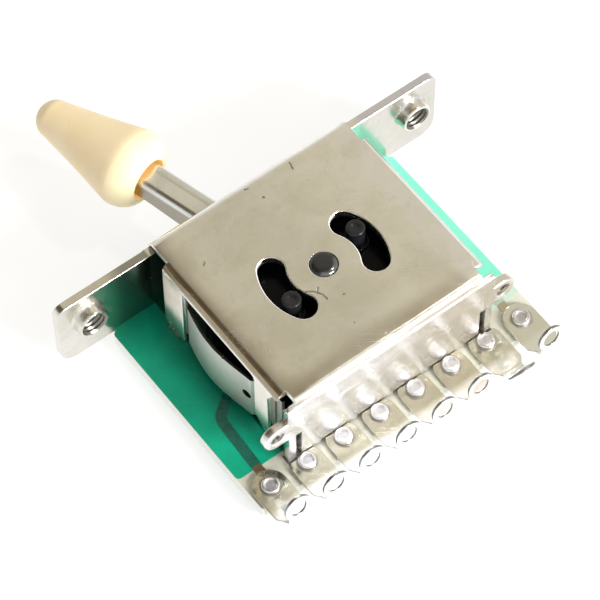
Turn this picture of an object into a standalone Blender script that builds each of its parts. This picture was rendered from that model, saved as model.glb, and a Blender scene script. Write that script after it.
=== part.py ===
"""Five-position rotary lever selector switch in a folded steel housing.

The frame: X across the mounting plate, Y from the plate's front face to the
solder lugs, Z up, with the origin on the plate's front face at the level of
the circuit board's top. Lengths below are in millimetres, angles in degrees.
"""

import math

import bmesh
import bpy
from mathutils import Matrix, Vector

MM = 0.001

# Mounting plate and cover, one folded sheet
SHEET = 1.0
PLATE_HALF = 24.1
PLATE_TOP, PLATE_BOTTOM = 9.1, -0.6
SCREW_X, SCREW_Z = 20.65, 5.6
SCREW_HOLE_R, COLLAR_R, COLLAR_LEN = 1.25, 1.85, 1.4
LEVER_SLOT_HALF, LEVER_SLOT_Z0, LEVER_SLOT_Z1 = 10.8, 2.5, 7.5
COVER_TOP = 10.7
COVER_HALF = 12.95
COVER_FLAT_HALF = 12.17
FRONT_BEND_R, SIDE_BEND_R, REAR_BEND_R = 1.5, 0.95, 1.0
REAR_FACE = 24.35
REAR_BOTTOM, REAR_TOOTH = 0.5, 0.15
WALL_TOP_BAND = 9.45
FRONT_PILLAR = (3.5, 6.7)
REAR_PILLAR = (18.7, 20.9)
PILLAR_BOTTOM = 0.3
TAB_BOTTOM = -2.2
EAR_END, EAR_Z, EAR_HALF, EAR_HOLE_X, EAR_HOLE_R = 15.75, 6.3, 1.5, 14.18, 0.8
LEG_X0, LEG_X1, LEG_TOP = 12.0, 12.85, 4.8
SLIT = 0.7

# Circuit board
BOARD_HALF, BOARD_Y0, BOARD_Y1, BOARD_T = 18.14, 1.3, 27.0, 1.6

# Rotor, lever and cap: lengths are measured from the pivot's axis
PIVOT_Y = 13.12
REST_TILT = 15.5
SLOT_R, SLOT_HALF_ANGLE, SLOT_WIDTH = 5.28, 30.0, 2.9
ROTOR_Z0, ROTOR_Z1 = 1.6, 8.2
ROTOR_HUB_R = 8.6
LOBE_R = 12.5
LOBE_FACETS = (-24.0, -8.0, 8.0)
LOBE_ENDS = (-35.0, 18.0)
PIN_R, PIN_TOP = 1.0, 11.0
JOURNAL_R, JOURNAL_TOP = 1.42, 11.05
LOWER_JOURNAL_R = 1.95
BORE_PLAY = 0.06
LEVER_HALF, LEVER_TOP, LEVER_SHEET = 1.65, 6.8, 0.6
LEVER_START, LEVER_END = 3.6, 31.0
LEVER_LEG_Z = ((3.6, 3.4), (13.2, 3.4), (21.2, 4.1), (31.0, 4.2))
CAP_Z = 5.34
CAP_TIP, CAP_TIP_R, CAP_TIP_LEN = 37.07, 2.16, 1.98
CAP_SHOULDER, CAP_SHOULDER_R = 25.4, 4.4
CAP_BASE, CAP_OPENING_R, CAP_HOLE_END = 22.6, 2.35, 32.5

# Detent springs in the side windows
LEAF_T = 0.35
LEAF_Z0, LEAF_Z1 = 0.9, 7.6
LEAF_HOLE = (4.3, 4.4, 0.57)

# Lugs and rivets
LUG_COUNT, LUG_PITCH, RIVET_Y = 8, 4.58, 25.46
RIVET_HEAD_R, RIVET_SHANK_R, RIVET_TOP = 0.975, 0.7, 0.85
LUG_T, LUG_Z, LUG_HALF, LUG_NOSE_R = 0.35, 0.05, 1.9, 1.9
LUG_BEND_Y, LUG_BEND_R = 29.74, 0.55
LUG_BEND_UP = (101.0, 97.0, 99.0, 98.0, 98.5, 97.5, 64.0, 98.0)
NECK_HALF, RING_R, RING_HOLE_R, RING_ARM = 1.25, 1.6, 0.97, 1.83


def clear_scene():
    for obj in list(bpy.data.objects):
        bpy.data.objects.remove(obj, do_unlink=True)


def make_material(name, color, roughness, metallic):
    mat = bpy.data.materials.new(name)
    mat.use_nodes = True
    shader = mat.node_tree.nodes["Principled BSDF"]
    shader.inputs["Base Color"].default_value = (*color, 1.0)
    shader.inputs["Roughness"].default_value = roughness
    shader.inputs["Metallic"].default_value = metallic
    mat.diffuse_color = (*color, 1.0)
    return mat


def add_object(name, bm, mat=None, parent=None, smooth=35.0):
    bmesh.ops.scale(bm, vec=(MM, MM, MM), verts=bm.verts)
    mesh = bpy.data.meshes.new(name)
    bm.to_mesh(mesh)
    bm.free()
    mesh.shade_smooth()
    mesh.set_sharp_from_angle(angle=math.radians(smooth))
    if mat:
        mesh.materials.append(mat)
    obj = bpy.data.objects.new(name, mesh)
    bpy.context.scene.collection.objects.link(obj)
    if parent:
        obj.parent = parent
    return obj


def arc(cx, cy, r, a0, a1, steps):
    """Points on a circle from angle a0 to a1, both ends included."""
    points = []
    for i in range(steps + 1):
        a = math.radians(a0 + (a1 - a0) * i / steps)
        points.append((cx + r * math.cos(a), cy + r * math.sin(a)))
    return points


def prism(outline, low, high, axis="Z"):
    """A closed outline, counter-clockwise, raised along Z, or along Y or X.

    Along Z the outline is (x, y), along Y it is (x, z) and along X (y, z).
    """
    bm = bmesh.new()
    rings = []
    for level in (low, high):
        ring = []
        for u, v in outline:
            if axis == "Z":
                co = (u, v, level)
            elif axis == "Y":
                co = (u, level, v)
            else:
                co = (level, u, v)
            ring.append(bm.verts.new(co))
        rings.append(ring)
    count = len(outline)
    for i in range(count):
        j = (i + 1) % count
        bm.faces.new((rings[0][i], rings[0][j], rings[1][j], rings[1][i]))
    bm.faces.new(rings[1])
    bm.faces.new(list(reversed(rings[0])))
    bmesh.ops.recalc_face_normals(bm, faces=bm.faces)
    return bm


def box(x0, x1, y0, y1, z0, z1):
    return prism([(x0, y0), (x1, y0), (x1, y1), (x0, y1)], z0, z1)


def cylinder(x, y, r, z0, z1, steps=32, axis="Z"):
    return prism(arc(x, y, r, 0, 360 - 360 / steps, steps - 1), z0, z1, axis)


def lathe(profile, steps, origin=(0, 0, 0), direction="Z"):
    """Turns (radius, height) points about an axis; a radius of 0 closes an end."""
    bm = bmesh.new()
    rings = []
    for r, h in profile:
        if r == 0:
            rings.append([bm.verts.new((0, 0, h))])
            continue
        rings.append(
            [
                bm.verts.new(
                    (
                        r * math.cos(math.tau * i / steps),
                        r * math.sin(math.tau * i / steps),
                        h,
                    )
                )
                for i in range(steps)
            ]
        )
    pairs = list(zip(rings, rings[1:]))
    if len(rings[0]) > 1:
        pairs.append((rings[-1], rings[0]))
    for low, high in pairs:
        for i in range(steps):
            j = (i + 1) % steps
            if len(low) == 1:
                bm.faces.new((low[0], high[j], high[i]))
            elif len(high) == 1:
                bm.faces.new((low[i], low[j], high[0]))
            else:
                bm.faces.new((low[i], low[j], high[j], high[i]))
    bmesh.ops.recalc_face_normals(bm, faces=bm.faces)
    if direction == "-Y":
        bmesh.ops.rotate(
            bm, verts=bm.verts, cent=(0, 0, 0), matrix=Matrix.Rotation(math.radians(90), 3, "X")
        )
    bmesh.ops.translate(bm, verts=bm.verts, vec=Vector(origin))
    return bm


def helper(name, bm, parent=None):
    obj = add_object(name, bm, parent=parent)
    obj.hide_render = True
    obj.display_type = "WIRE"
    return obj


def boolean(obj, other, operation):
    mod = obj.modifiers.new(other.name, "BOOLEAN")
    mod.operation = operation
    mod.solver = "EXACT"
    mod.object = other


def cut(obj, name, bm):
    boolean(obj, helper(name, bm, obj.parent), "DIFFERENCE")


def join(obj, name, bm):
    boolean(obj, helper(name, bm, obj.parent), "UNION")


def slab_outline(half, y0, y1, r, steps=4):
    """A rectangle about X = 0 with rounded corners."""
    points = []
    for cx, cy, a in (
        (half - r, y0 + r, -90),
        (half - r, y1 - r, 0),
        (-half + r, y1 - r, 90),
        (-half + r, y0 + r, 180),
    ):
        points += arc(cx, cy, r, a, a + 90, steps)
    return points


def rounded_block(half, y0, y1, z0, z1, front_r, side_r, rear_r):
    """A block whose top is rounded along the front, the rear and the sides."""
    side = [(half, z0)]
    side += arc(half - side_r, z1 - side_r, side_r, 0, 90, 4)
    side += arc(-half + side_r, z1 - side_r, side_r, 90, 180, 4)
    side += [(-half, z0)]
    across = prism(list(reversed(side)), y0, y1, "Y")
    length = [(y0, z0), (y1, z0)]
    length += arc(y1 - rear_r, z1 - rear_r, rear_r, 0, 90, 4)
    length += arc(y0 + front_r, z1 - front_r, front_r, 90, 180, 6)
    along = prism(length, -half - 1, half + 1, "X")
    return across, along


def kidney(side):
    """The arc-shaped slot about the pivot, round at both ends."""
    half = SLOT_WIDTH / 2
    a = SLOT_HALF_ANGLE
    points = arc(0, 0, SLOT_R + half, -a, a, 12)
    tip = math.radians(a)
    points += arc(SLOT_R * math.cos(tip), SLOT_R * math.sin(tip), half, a, a + 180, 8)[1:-1]
    points += arc(0, 0, SLOT_R - half, a, -a, 10)
    points += arc(SLOT_R * math.cos(tip), -SLOT_R * math.sin(tip), half, 180 - a, 360 - a, 8)[1:-1]
    return [(side * x, PIVOT_Y + y) for x, y in points][:: side]


def plate_outline():
    """The mounting plate seen from the front, as (x, z)."""
    right = arc(PLATE_HALF - 1.9, PLATE_BOTTOM + 1.9, 1.9, -90, 0, 6)
    right += arc(PLATE_HALF - 1.1, PLATE_TOP - 1.1, 1.1, 0, 90, 4)
    left = arc(-PLATE_HALF + 1.1, PLATE_TOP - 1.1, 1.1, 90, 180, 4)
    left += arc(-PLATE_HALF + 1.9, PLATE_BOTTOM + 1.9, 1.9, 180, 270, 6)
    return right + left


def rear_bottom_edge(y0, y1):
    """Cutter under the rear wall, which clears the lugs and has a tooth between each two."""
    x_end = LEG_X0 - SLIT
    points = [(-x_end, -5.0), (x_end, -5.0), (x_end, REAR_BOTTOM)]
    for k in range(2, -3, -1):
        x = k * LUG_PITCH
        points += [(x + 0.36, REAR_BOTTOM), (x + 0.24, REAR_TOOTH)]
        points += [(x - 0.24, REAR_TOOTH), (x - 0.36, REAR_BOTTOM)]
    points.append((-x_end, REAR_BOTTOM))
    return prism(points, y0, y1, "Y")


def housing_object(mat):
    across, along = rounded_block(
        COVER_HALF, 0, REAR_FACE, PLATE_BOTTOM, COVER_TOP, FRONT_BEND_R, SIDE_BEND_R, REAR_BEND_R
    )
    obj = add_object("housing", across, mat)
    boolean(obj, helper("housing_length", along), "INTERSECT")
    t = SHEET
    inner_across, inner_along = rounded_block(
        COVER_HALF - t, t, REAR_FACE - t, -5, COVER_TOP - t, FRONT_BEND_R - t, 0.25, 0.25
    )
    inner = helper("hollow", inner_across)
    boolean(inner, helper("hollow_length", inner_along), "INTERSECT")
    boolean(obj, inner, "DIFFERENCE")
    # The plate's ears, beyond the folded cover
    join(obj, "plate", prism(plate_outline(), 0, t, "Y"))
    # Corner reliefs between the plate and the side walls
    for side, tag in ((1, "right"), (-1, "left")):
        x0, x1 = sorted((side * COVER_FLAT_HALF, side * (COVER_HALF + 1)))
        cut(obj, "front_relief_" + tag, box(x0, x1, t, FRONT_PILLAR[0], -5, COVER_TOP + 1))
        under = sorted((side * (COVER_HALF - t - 0.6), side * (COVER_HALF + 1)))
        cut(obj, "under_relief_" + tag, box(*under, t, FRONT_PILLAR[0], -5, COVER_TOP - t))
        cut(obj, "shoulder_" + tag, box(x0, x1, -1, t + 1, PLATE_TOP, COVER_TOP + 1))
        # Window: front pillar to rear pillar, open at the bottom
        x0, x1 = sorted((side * (COVER_HALF - t - 1.0), side * (COVER_HALF + 1)))
        window = [
            (FRONT_PILLAR[1], -5),
            (REAR_PILLAR[0] + 1.5, -5),
            (REAR_PILLAR[0] + 1.5, 1.1),
            (REAR_PILLAR[0], 2.6),
            (REAR_PILLAR[0], WALL_TOP_BAND - 0.5),
            (REAR_PILLAR[0] - 0.5, WALL_TOP_BAND),
            (FRONT_PILLAR[1] + 0.5, WALL_TOP_BAND),
            (FRONT_PILLAR[1], WALL_TOP_BAND - 0.5),
        ]
        cut(obj, "window_" + tag, prism(window, x0, x1, "X"))
        # Open corner between the rear pillar and the rear wall
        corner = [
            (REAR_PILLAR[1], -5),
            (REAR_FACE - t, -5),
            (REAR_FACE - t, WALL_TOP_BAND + 0.4),
            (REAR_PILLAR[1] + 0.9, WALL_TOP_BAND + 0.4),
            (REAR_PILLAR[1], WALL_TOP_BAND - 1.2),
        ]
        cut(obj, "corner_" + tag, prism(corner, x0, x1, "X"))
        cut(
            obj,
            "notch_" + tag,
            box(
                *sorted((side * (COVER_FLAT_HALF - 0.5), side * (COVER_HALF + 1))),
                REAR_FACE - t - 0.9,
                REAR_FACE - 0.45,
                9.2,
                COVER_TOP + 1,
            ),
        )
        # The wall's lower edge clears the board, but for one tab through it
        lower = prism(
            [(FRONT_PILLAR[0] - 0.5, -5), (4.3, -5), (4.3, PILLAR_BOTTOM), (FRONT_PILLAR[0] - 0.5, PILLAR_BOTTOM)],
            x0,
            x1,
            "X",
        )
        cut(obj, "pillar_foot_" + tag, lower)
        tab = box(
            *sorted((side * (COVER_HALF - t), side * COVER_HALF)), 4.3, 5.9, TAB_BOTTOM, 1.0
        )
        cut(obj, "pillar_foot2_" + tag, prism([(5.9, -5), (7.2, -5), (7.2, PILLAR_BOTTOM), (5.9, PILLAR_BOTTOM)], x0, x1, "X"))
        join(obj, "tab_" + tag, tab)
        cut(obj, "rear_foot_" + tag, prism([(REAR_PILLAR[0], -5), (REAR_PILLAR[1] + 0.5, -5), (REAR_PILLAR[1] + 0.5, 1.1), (REAR_PILLAR[0], 1.1)], x0, x1, "X"))
        # Rear ear and its leg
        ear = [(side * (COVER_HALF - 1.5), EAR_Z - EAR_HALF)]
        ear += [
            (side * x, z)
            for x, z in arc(EAR_END - EAR_HALF, EAR_Z, EAR_HALF, -90, 90, 8)
        ]
        ear += [(side * (COVER_HALF - 1.5), EAR_Z + EAR_HALF)]
        join(obj, "rear_ear_" + tag, prism(ear[::side], REAR_FACE - t, REAR_FACE, "Y"))
        cut(
            obj,
            "rear_ear_hole_" + tag,
            cylinder(side * EAR_HOLE_X, EAR_Z, EAR_HOLE_R, REAR_FACE - 2, REAR_FACE + 1, 16, "Y"),
        )
        cut(
            obj,
            "leg_side_" + tag,
            box(*sorted((side * LEG_X1, side * (LEG_X1 + 0.6))), REAR_FACE - t - 0.5, REAR_FACE + 0.5, -5, EAR_Z - EAR_HALF),
        )
        cut(
            obj,
            "leg_slit_" + tag,
            box(*sorted((side * (LEG_X0 - SLIT), side * LEG_X0)), REAR_FACE - t - 0.5, REAR_FACE + 0.5, -5, LEG_TOP),
        )
        join(
            obj,
            "leg_" + tag,
            box(*sorted((side * LEG_X0, side * LEG_X1)), REAR_FACE - t, REAR_FACE, TAB_BOTTOM, LEG_TOP + 0.5),
        )
        # Tapped collar of the mounting hole
        join(
            obj,
            "collar_" + tag,
            prism(arc(side * SCREW_X, SCREW_Z, COLLAR_R, 0, 345, 23), t - 0.4, t + COLLAR_LEN, "Y"),
        )
        cut(
            obj,
            "screw_hole_" + tag,
            cylinder(side * SCREW_X, SCREW_Z, SCREW_HOLE_R, -1, t + COLLAR_LEN + 1, 24, "Y"),
        )
        cut(obj, "kidney_" + tag, prism(kidney(side), COVER_TOP - 3, COVER_TOP + 1))
    cut(obj, "rear_edge", rear_bottom_edge(REAR_FACE - t - 0.5, REAR_FACE + 0.5))
    cut(obj, "bore", cylinder(0, PIVOT_Y, JOURNAL_R + BORE_PLAY, COVER_TOP - 3, COVER_TOP + 1, 32))
    slot = []
    r = 0.6
    for cx, cz, a in (
        (LEVER_SLOT_HALF - r, LEVER_SLOT_Z0 + r, -90),
        (LEVER_SLOT_HALF - r, LEVER_SLOT_Z1 - r, 0),
        (-LEVER_SLOT_HALF + r, LEVER_SLOT_Z1 - r, 90),
        (-LEVER_SLOT_HALF + r, LEVER_SLOT_Z0 + r, 180),
    ):
        slot += arc(cx, cz, r, a, a + 90, 3)
    cut(obj, "lever_slot", prism(slot, -1, t + 1, "Y"))
    return obj


def board_object(mat):
    obj = add_object(
        "circuit_board", prism(slab_outline(BOARD_HALF, BOARD_Y0, BOARD_Y1, 0.5), -BOARD_T, 0), mat
    )
    play = 0.15
    for side, tag in ((1, "right"), (-1, "left")):
        cut(
            obj,
            "board_tab_slot_" + tag,
            box(*sorted((side * (COVER_HALF - SHEET - play), side * (COVER_HALF + play))), 4.3 - play, 5.9 + play, -3, 1),
        )
        cut(
            obj,
            "board_leg_slot_" + tag,
            box(*sorted((side * (LEG_X0 - play), side * (LEG_X1 + play))), REAR_FACE - SHEET - play, REAR_FACE + play, -3, 1),
        )
    for i in range(LUG_COUNT):
        cut(
            obj,
            "board_rivet_hole_%d" % (i + 1),
            cylinder(lug_x(i), RIVET_Y, RIVET_SHANK_R + 0.1, -3, 1, 16),
        )
    cut(obj, "board_bore", cylinder(0, PIVOT_Y, LOWER_JOURNAL_R + BORE_PLAY, -3, 1, 32))
    return obj


def rotor_outline():
    """Hub circle with a faceted lobe at each side, about the pivot."""

    def lobe(sign):
        apothem = LOBE_R * math.cos(math.radians(8))
        angles = [LOBE_ENDS[0], *LOBE_FACETS, LOBE_ENDS[1]]
        points = []
        for a in angles:
            middle = round(a / 16) * 16 if a in LOBE_ENDS else a + 8
            r = apothem / math.cos(math.radians(a - middle))
            points.append((sign * r * math.cos(math.radians(a)), r * math.sin(math.radians(a))))
        return points

    right = lobe(1)
    left = list(reversed(lobe(-1)))
    rear = arc(0, 0, ROTOR_HUB_R, LOBE_ENDS[1] + 6, 180 - LOBE_ENDS[1] - 6, 14)
    front = arc(0, 0, ROTOR_HUB_R, 180 - LOBE_ENDS[0] + 6, 360 + LOBE_ENDS[0] - 6, 12)
    return right + rear + left + front


def pin_profile(r, z0, z1, chamfer):
    return [(0, z0), (r, z0), (r, z1 - chamfer), (r - chamfer, z1), (0, z1)]


def rotor_object(mat, parent):
    obj = add_object("rotor", prism(rotor_outline(), ROTOR_Z0, ROTOR_Z1), mat, parent)
    cut(
        obj,
        "rotor_groove",
        box(-LEVER_HALF - 0.3, LEVER_HALF + 0.3, -20, -LEVER_START + 0.4, -5, LEVER_TOP + 0.3),
    )
    for side, tag in ((1, "right"), (-1, "left")):
        pin = lathe(pin_profile(PIN_R, ROTOR_Z1 - 0.5, PIN_TOP, 0.25), 20, (side * SLOT_R, 0, 0))
        join(obj, "rotor_pin_" + tag, pin)
    dome = [(0, ROTOR_Z1 - 0.5), (JOURNAL_R, ROTOR_Z1 - 0.5), (JOURNAL_R, COVER_TOP - 0.05)]
    for i in range(1, 5):
        a = math.pi / 2 * i / 5
        dome.append(
            (JOURNAL_R * math.cos(a), COVER_TOP - 0.05 + (JOURNAL_TOP - COVER_TOP + 0.05) * math.sin(a))
        )
    dome.append((0, JOURNAL_TOP))
    join(obj, "rotor_journal_top", lathe(dome, 28))
    foot = [
        (0, TAB_BOTTOM),
        (LOWER_JOURNAL_R - 0.2, TAB_BOTTOM),
        (LOWER_JOURNAL_R, TAB_BOTTOM + 0.2),
        (LOWER_JOURNAL_R, 0.3),
        (2.9, 0.3),
        (2.9, ROTOR_Z0 + 0.5),
        (0, ROTOR_Z0 + 0.5),
    ]
    join(obj, "rotor_journal_foot", lathe(foot, 28))
    return obj


def lever_object(mat, parent):
    """Channel folded from sheet, its web on top, its legs getting shorter outwards."""
    r_out, r_in = 0.75, 0.2
    top, half, t = LEVER_TOP, LEVER_HALF, LEVER_SHEET
    bm = bmesh.new()
    rings = []
    for distance, leg in LEVER_LEG_Z:
        outline = [(half, leg)]
        outline += arc(half - r_out, top - r_out, r_out, 0, 90, 5)
        outline += arc(-half + r_out, top - r_out, r_out, 90, 180, 5)
        outline += [(-half, leg), (-half + t, leg)]
        outline += arc(-half + t + r_in, top - t - r_in, r_in, 180, 90, 3)
        outline += arc(half - t - r_in, top - t - r_in, r_in, 90, 0, 3)
        outline += [(half - t, leg)]
        rings.append([bm.verts.new((x, -distance, z)) for x, z in outline])
    count = len(rings[0])
    for low, high in zip(rings, rings[1:]):
        for i in range(count):
            j = (i + 1) % count
            bm.faces.new((low[i], low[j], high[j], high[i]))
    bm.faces.new(rings[0])
    bm.faces.new(list(reversed(rings[-1])))
    bmesh.ops.recalc_face_normals(bm, faces=bm.faces)
    return add_object("lever", bm, mat, parent)


def cap_object(mat, parent):
    """Tapered knob turned about the lever's length, open at its base."""
    outer = []
    for i in range(6):
        a = math.pi / 2 * i / 5
        outer.append(
            (CAP_TIP_R * math.sin(a), CAP_TIP - CAP_TIP_LEN + CAP_TIP_LEN * math.cos(a))
        )
    outer[0] = (0, CAP_TIP)
    steps = 3
    for i in range(1, steps):
        f = i / steps
        bulge = 0.06 * math.sin(math.pi * f)
        outer.append(
            (
                CAP_TIP_R + (CAP_SHOULDER_R - CAP_TIP_R) * f - bulge,
                CAP_TIP - CAP_TIP_LEN + (CAP_SHOULDER - CAP_TIP + CAP_TIP_LEN) * f,
            )
        )
    for i in range(7):
        a = math.pi / 2 * i / 6
        outer.append(
            (
                CAP_OPENING_R + (CAP_SHOULDER_R - CAP_OPENING_R) * math.cos(a),
                CAP_SHOULDER - (CAP_SHOULDER - CAP_BASE) * math.sin(a),
            )
        )
    inner = [(CAP_OPENING_R, CAP_HOLE_END - 1.2), (CAP_OPENING_R - 0.7, CAP_HOLE_END), (0, CAP_HOLE_END)]
    return add_object(
        "lever_cap", lathe(outer + inner, 28, (0, 0, CAP_Z), "-Y"), mat, parent, 50.0
    )


def leaf_path():
    """Middle line of the spring seen from above, in (x, y) about the pivot, for the +X side.

    A flange behind each pillar, a bent leg out into the window and a bowed leaf between.
    """
    flange_x = COVER_HALF - SHEET - 0.12 - LEAF_T / 2
    front_leg = FRONT_PILLAR[1] - PIVOT_Y + 0.2 + LEAF_T / 2
    rear_leg = REAR_PILLAR[0] - PIVOT_Y - 0.2 - LEAF_T / 2
    r = 0.62
    end_x = 12.85 - LEAF_T / 2
    peak_x = 13.6 - LEAF_T / 2
    points = [(flange_x, FRONT_PILLAR[0] - PIVOT_Y + 1.0)]
    points += arc(flange_x + r, front_leg - r, r, 180, 90, 6)
    points += [(end_x - 0.45, front_leg)]
    steps = 16
    y0, y1 = front_leg + 0.45, rear_leg - 0.45
    for i in range(steps + 1):
        y = y0 + (y1 - y0) * i / steps
        f = (y - y0) / (y1 - y0)
        bow = math.sin(math.pi * f ** 0.9) ** 1.15
        points.append((end_x + (peak_x - end_x) * bow, y))
    points += [(end_x - 0.45, rear_leg)]
    points += arc(flange_x + r, rear_leg + r, r, 270, 180, 6)
    points += [(flange_x, REAR_PILLAR[1] - PIVOT_Y + 0.9)]
    return points


def thicken(path, thickness):
    """Outline on both sides of a line."""
    left, right = [], []
    for i, (x, y) in enumerate(path):
        ax, ay = path[max(i - 1, 0)]
        bx, by = path[min(i + 1, len(path) - 1)]
        length = math.hypot(bx - ax, by - ay)
        nx, ny = (by - ay) / length, -(bx - ax) / length
        left.append((x + nx * thickness / 2, y + ny * thickness / 2))
        right.append((x - nx * thickness / 2, y - ny * thickness / 2))
    return left + right[::-1]


def leaf_object(name, side, mat):
    outline = [(side * x, PIVOT_Y + y) for x, y in thicken(leaf_path(), LEAF_T)]
    obj = add_object(name, prism(outline[::side], LEAF_Z0, LEAF_Z1), mat)
    dy, z, r = LEAF_HOLE
    hole = cylinder(PIVOT_Y + dy, z, r, *sorted((side * 11.9, side * 14.5)), 16, "X")
    cut(obj, name + "_hole", hole)
    return obj


def wiper_object(name, side, mat, parent):
    """Bronze blade under the rotor, with two feet bent down towards the board."""
    path = [(3.6, 1.3 - 0.15), (9.4, 1.3 - 0.15), (10.6, 0.35 + 0.15), (11.3, 0.35 + 0.15), (11.9, 0.75)]
    outline = [(side * u, z) for u, z in thicken(path, 0.3)]
    obj = add_object(name, prism(outline[::-side], -1.6, 1.6, "Y"), mat, parent)
    slot = box(*sorted((side * 8.6, side * 12.6)), -0.35, 0.35, -1, 3)
    cut(obj, name + "_slit", slot)
    return obj


def lug_x(i):
    return (3.5 - i) * LUG_PITCH


def lug_object(i, mat):
    """Flat tail under its rivet, a bend up beyond the board's edge, then a ring eye."""
    x0 = lug_x(i)
    z_mid = LUG_Z + LUG_T / 2
    # Stations along the strip: y, z, slope and half-width
    stations = []
    steps = 5
    for k in range(steps + 1):
        a = math.pi / 2 * k / steps
        half = max(LUG_NOSE_R * math.sin(a), 0.4)
        stations.append((RIVET_Y - LUG_NOSE_R * math.cos(a), z_mid, 0.0, half))
    stations.append((LUG_BEND_Y - 0.75, z_mid, 0.0, LUG_HALF))
    stations.append((LUG_BEND_Y - 0.3, z_mid, 0.0, 1.62))
    y, z, angle = LUG_BEND_Y, z_mid, 0.0
    stations.append((y, z, 0.0, NECK_HALF + 0.08))
    bends = 5
    for k in range(bends):
        step = math.radians(LUG_BEND_UP[i]) / bends
        angle += step
        y += LUG_BEND_R * step * math.cos(angle - step / 2)
        z += LUG_BEND_R * step * math.sin(angle - step / 2)
        stations.append((y, z, angle, NECK_HALF))
    # The ring, cut across its disc at even angles from the neck to its top
    end_y = y + RING_ARM * math.cos(angle)
    end_z = z + RING_ARM * math.sin(angle)
    first = math.degrees(math.asin(NECK_HALF / RING_R))
    steps = 9
    for k in range(steps + 1):
        a = math.radians(first + (180 - 12 - first) * k / steps)
        s = -RING_R * math.cos(a)
        stations.append(
            (end_y + s * math.cos(angle), end_z + s * math.sin(angle), angle, RING_R * math.sin(a))
        )
    bm = bmesh.new()
    rings = []
    for sy, sz, slope, half in stations:
        ny, nz = -math.sin(slope) * LUG_T / 2, math.cos(slope) * LUG_T / 2
        corners = ((-half, -1), (half, -1), (half, 1), (-half, 1))
        rings.append(
            [bm.verts.new((x0 + dx, sy + ny * face, sz + nz * face)) for dx, face in corners]
        )
    for low, high in zip(rings, rings[1:]):
        for k in range(4):
            j = (k + 1) % 4
            bm.faces.new((low[k], low[j], high[j], high[k]))
    bm.faces.new(rings[0])
    bm.faces.new(list(reversed(rings[-1])))
    bmesh.ops.recalc_face_normals(bm, faces=bm.faces)
    obj = add_object("lug_%d" % (i + 1), bm, mat)
    hole = cylinder(x0, RIVET_Y, RIVET_SHANK_R + 0.1, -1, 1, 12)
    cut(obj, "lug_rivet_hole_%d" % (i + 1), hole)
    if i in (1, LUG_COUNT - 2):
        side = 1 if x0 > 0 else -1
        span = sorted((side * (LEG_X0 - 0.3), side * (LEG_X1 + 0.3)))
        notch = box(*span, REAR_FACE - 2, REAR_FACE + 0.3, -1, 1)
        cut(obj, "lug_leg_notch_%d" % (i + 1), notch)
    # The eye, square to the blade
    eye = lathe([(0, -1), (RING_HOLE_R, -1), (RING_HOLE_R, 1), (0, 1)], 16)
    turn = Matrix.Rotation(angle, 3, "X")
    bmesh.ops.rotate(eye, verts=eye.verts, cent=(0, 0, 0), matrix=turn)
    bmesh.ops.translate(eye, verts=eye.verts, vec=Vector((x0, end_y, end_z)))
    cut(obj, "lug_eye_%d" % (i + 1), eye)
    return obj


def rivet_object(i, mat):
    """Rivet: shank, rimmed head with a shallow dish, flat tail under the board."""
    top = RIVET_TOP
    seat = LUG_Z + LUG_T + 0.06
    tail = -BOARD_T - 0.06
    profile = [
        (0, TAB_BOTTOM),
        (1.1, TAB_BOTTOM),
        (1.15, tail),
        (RIVET_SHANK_R, tail),
        (RIVET_SHANK_R, seat),
        (RIVET_HEAD_R, seat),
        (RIVET_HEAD_R, top - 0.12),
        (RIVET_HEAD_R - 0.2, top),
        (0, top - 0.12),
    ]
    return add_object("rivet_%d" % (i + 1), lathe(profile, 14, (lug_x(i), RIVET_Y, 0)), mat)


def settle_meshes():
    """Keeps each finished shape as plain mesh, and removes the cutters."""
    bpy.context.view_layer.update()
    graph = bpy.context.evaluated_depsgraph_get()
    for obj in list(bpy.data.objects):
        if obj.type != "MESH" or obj.hide_render or not obj.modifiers:
            continue
        mesh = bpy.data.meshes.new_from_object(obj.evaluated_get(graph))
        mesh.name = obj.name
        mesh.shade_smooth()
        mesh.set_sharp_from_angle(angle=math.radians(35))
        obj.modifiers.clear()
        obj.data = mesh
    for obj in list(bpy.data.objects):
        if obj.type == "MESH" and obj.hide_render:
            bpy.data.objects.remove(obj, do_unlink=True)


def main():
    clear_scene()
    steel = make_material("nickel_steel", (0.62, 0.58, 0.50), 0.28, 1.0)
    bright = make_material("tinned_brass", (0.75, 0.73, 0.68), 0.25, 1.0)
    rivet_mat = make_material("rivet_silver", (0.72, 0.71, 0.70), 0.3, 1.0)
    spring_mat = make_material("spring_steel", (0.45, 0.47, 0.43), 0.35, 1.0)
    board_mat = make_material("board_green", (0.02, 0.30, 0.20), 0.45, 0.0)
    black = make_material("black_nylon", (0.01, 0.01, 0.012), 0.4, 0.0)
    lever_mat = make_material("lever_steel", (0.58, 0.55, 0.48), 0.32, 1.0)
    cream = make_material("cream_plastic", (0.86, 0.72, 0.48), 0.4, 0.0)
    bronze = make_material("contact_bronze", (0.55, 0.36, 0.18), 0.35, 1.0)

    housing_object(steel)
    board_object(board_mat)
    pivot = bpy.data.objects.new("pivot", None)
    bpy.context.scene.collection.objects.link(pivot)
    pivot.location = (0, PIVOT_Y * MM, 0)
    pivot.rotation_euler = (0, 0, math.radians(REST_TILT))
    rotor_object(black, pivot)
    lever_object(lever_mat, pivot)
    cap_object(cream, pivot)
    wiper_object("wiper_right", 1, bronze, pivot)
    wiper_object("wiper_left", -1, bronze, pivot)
    leaf_object("detent_spring_right", 1, spring_mat)
    leaf_object("detent_spring_left", -1, spring_mat)
    for i in range(LUG_COUNT):
        lug_object(i, bright)
        rivet_object(i, rivet_mat)
    settle_meshes()
    bpy.context.view_layer.update()


main()
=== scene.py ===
"""Looks of a lever selector switch: folded nickel case, green board, solder lugs.

Lengths are in millimetres in the CAD frame and scaled once, when a mesh is made:
X along the mounting plate, Y from its front face to the lugs, Z up.
"""

import math

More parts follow.
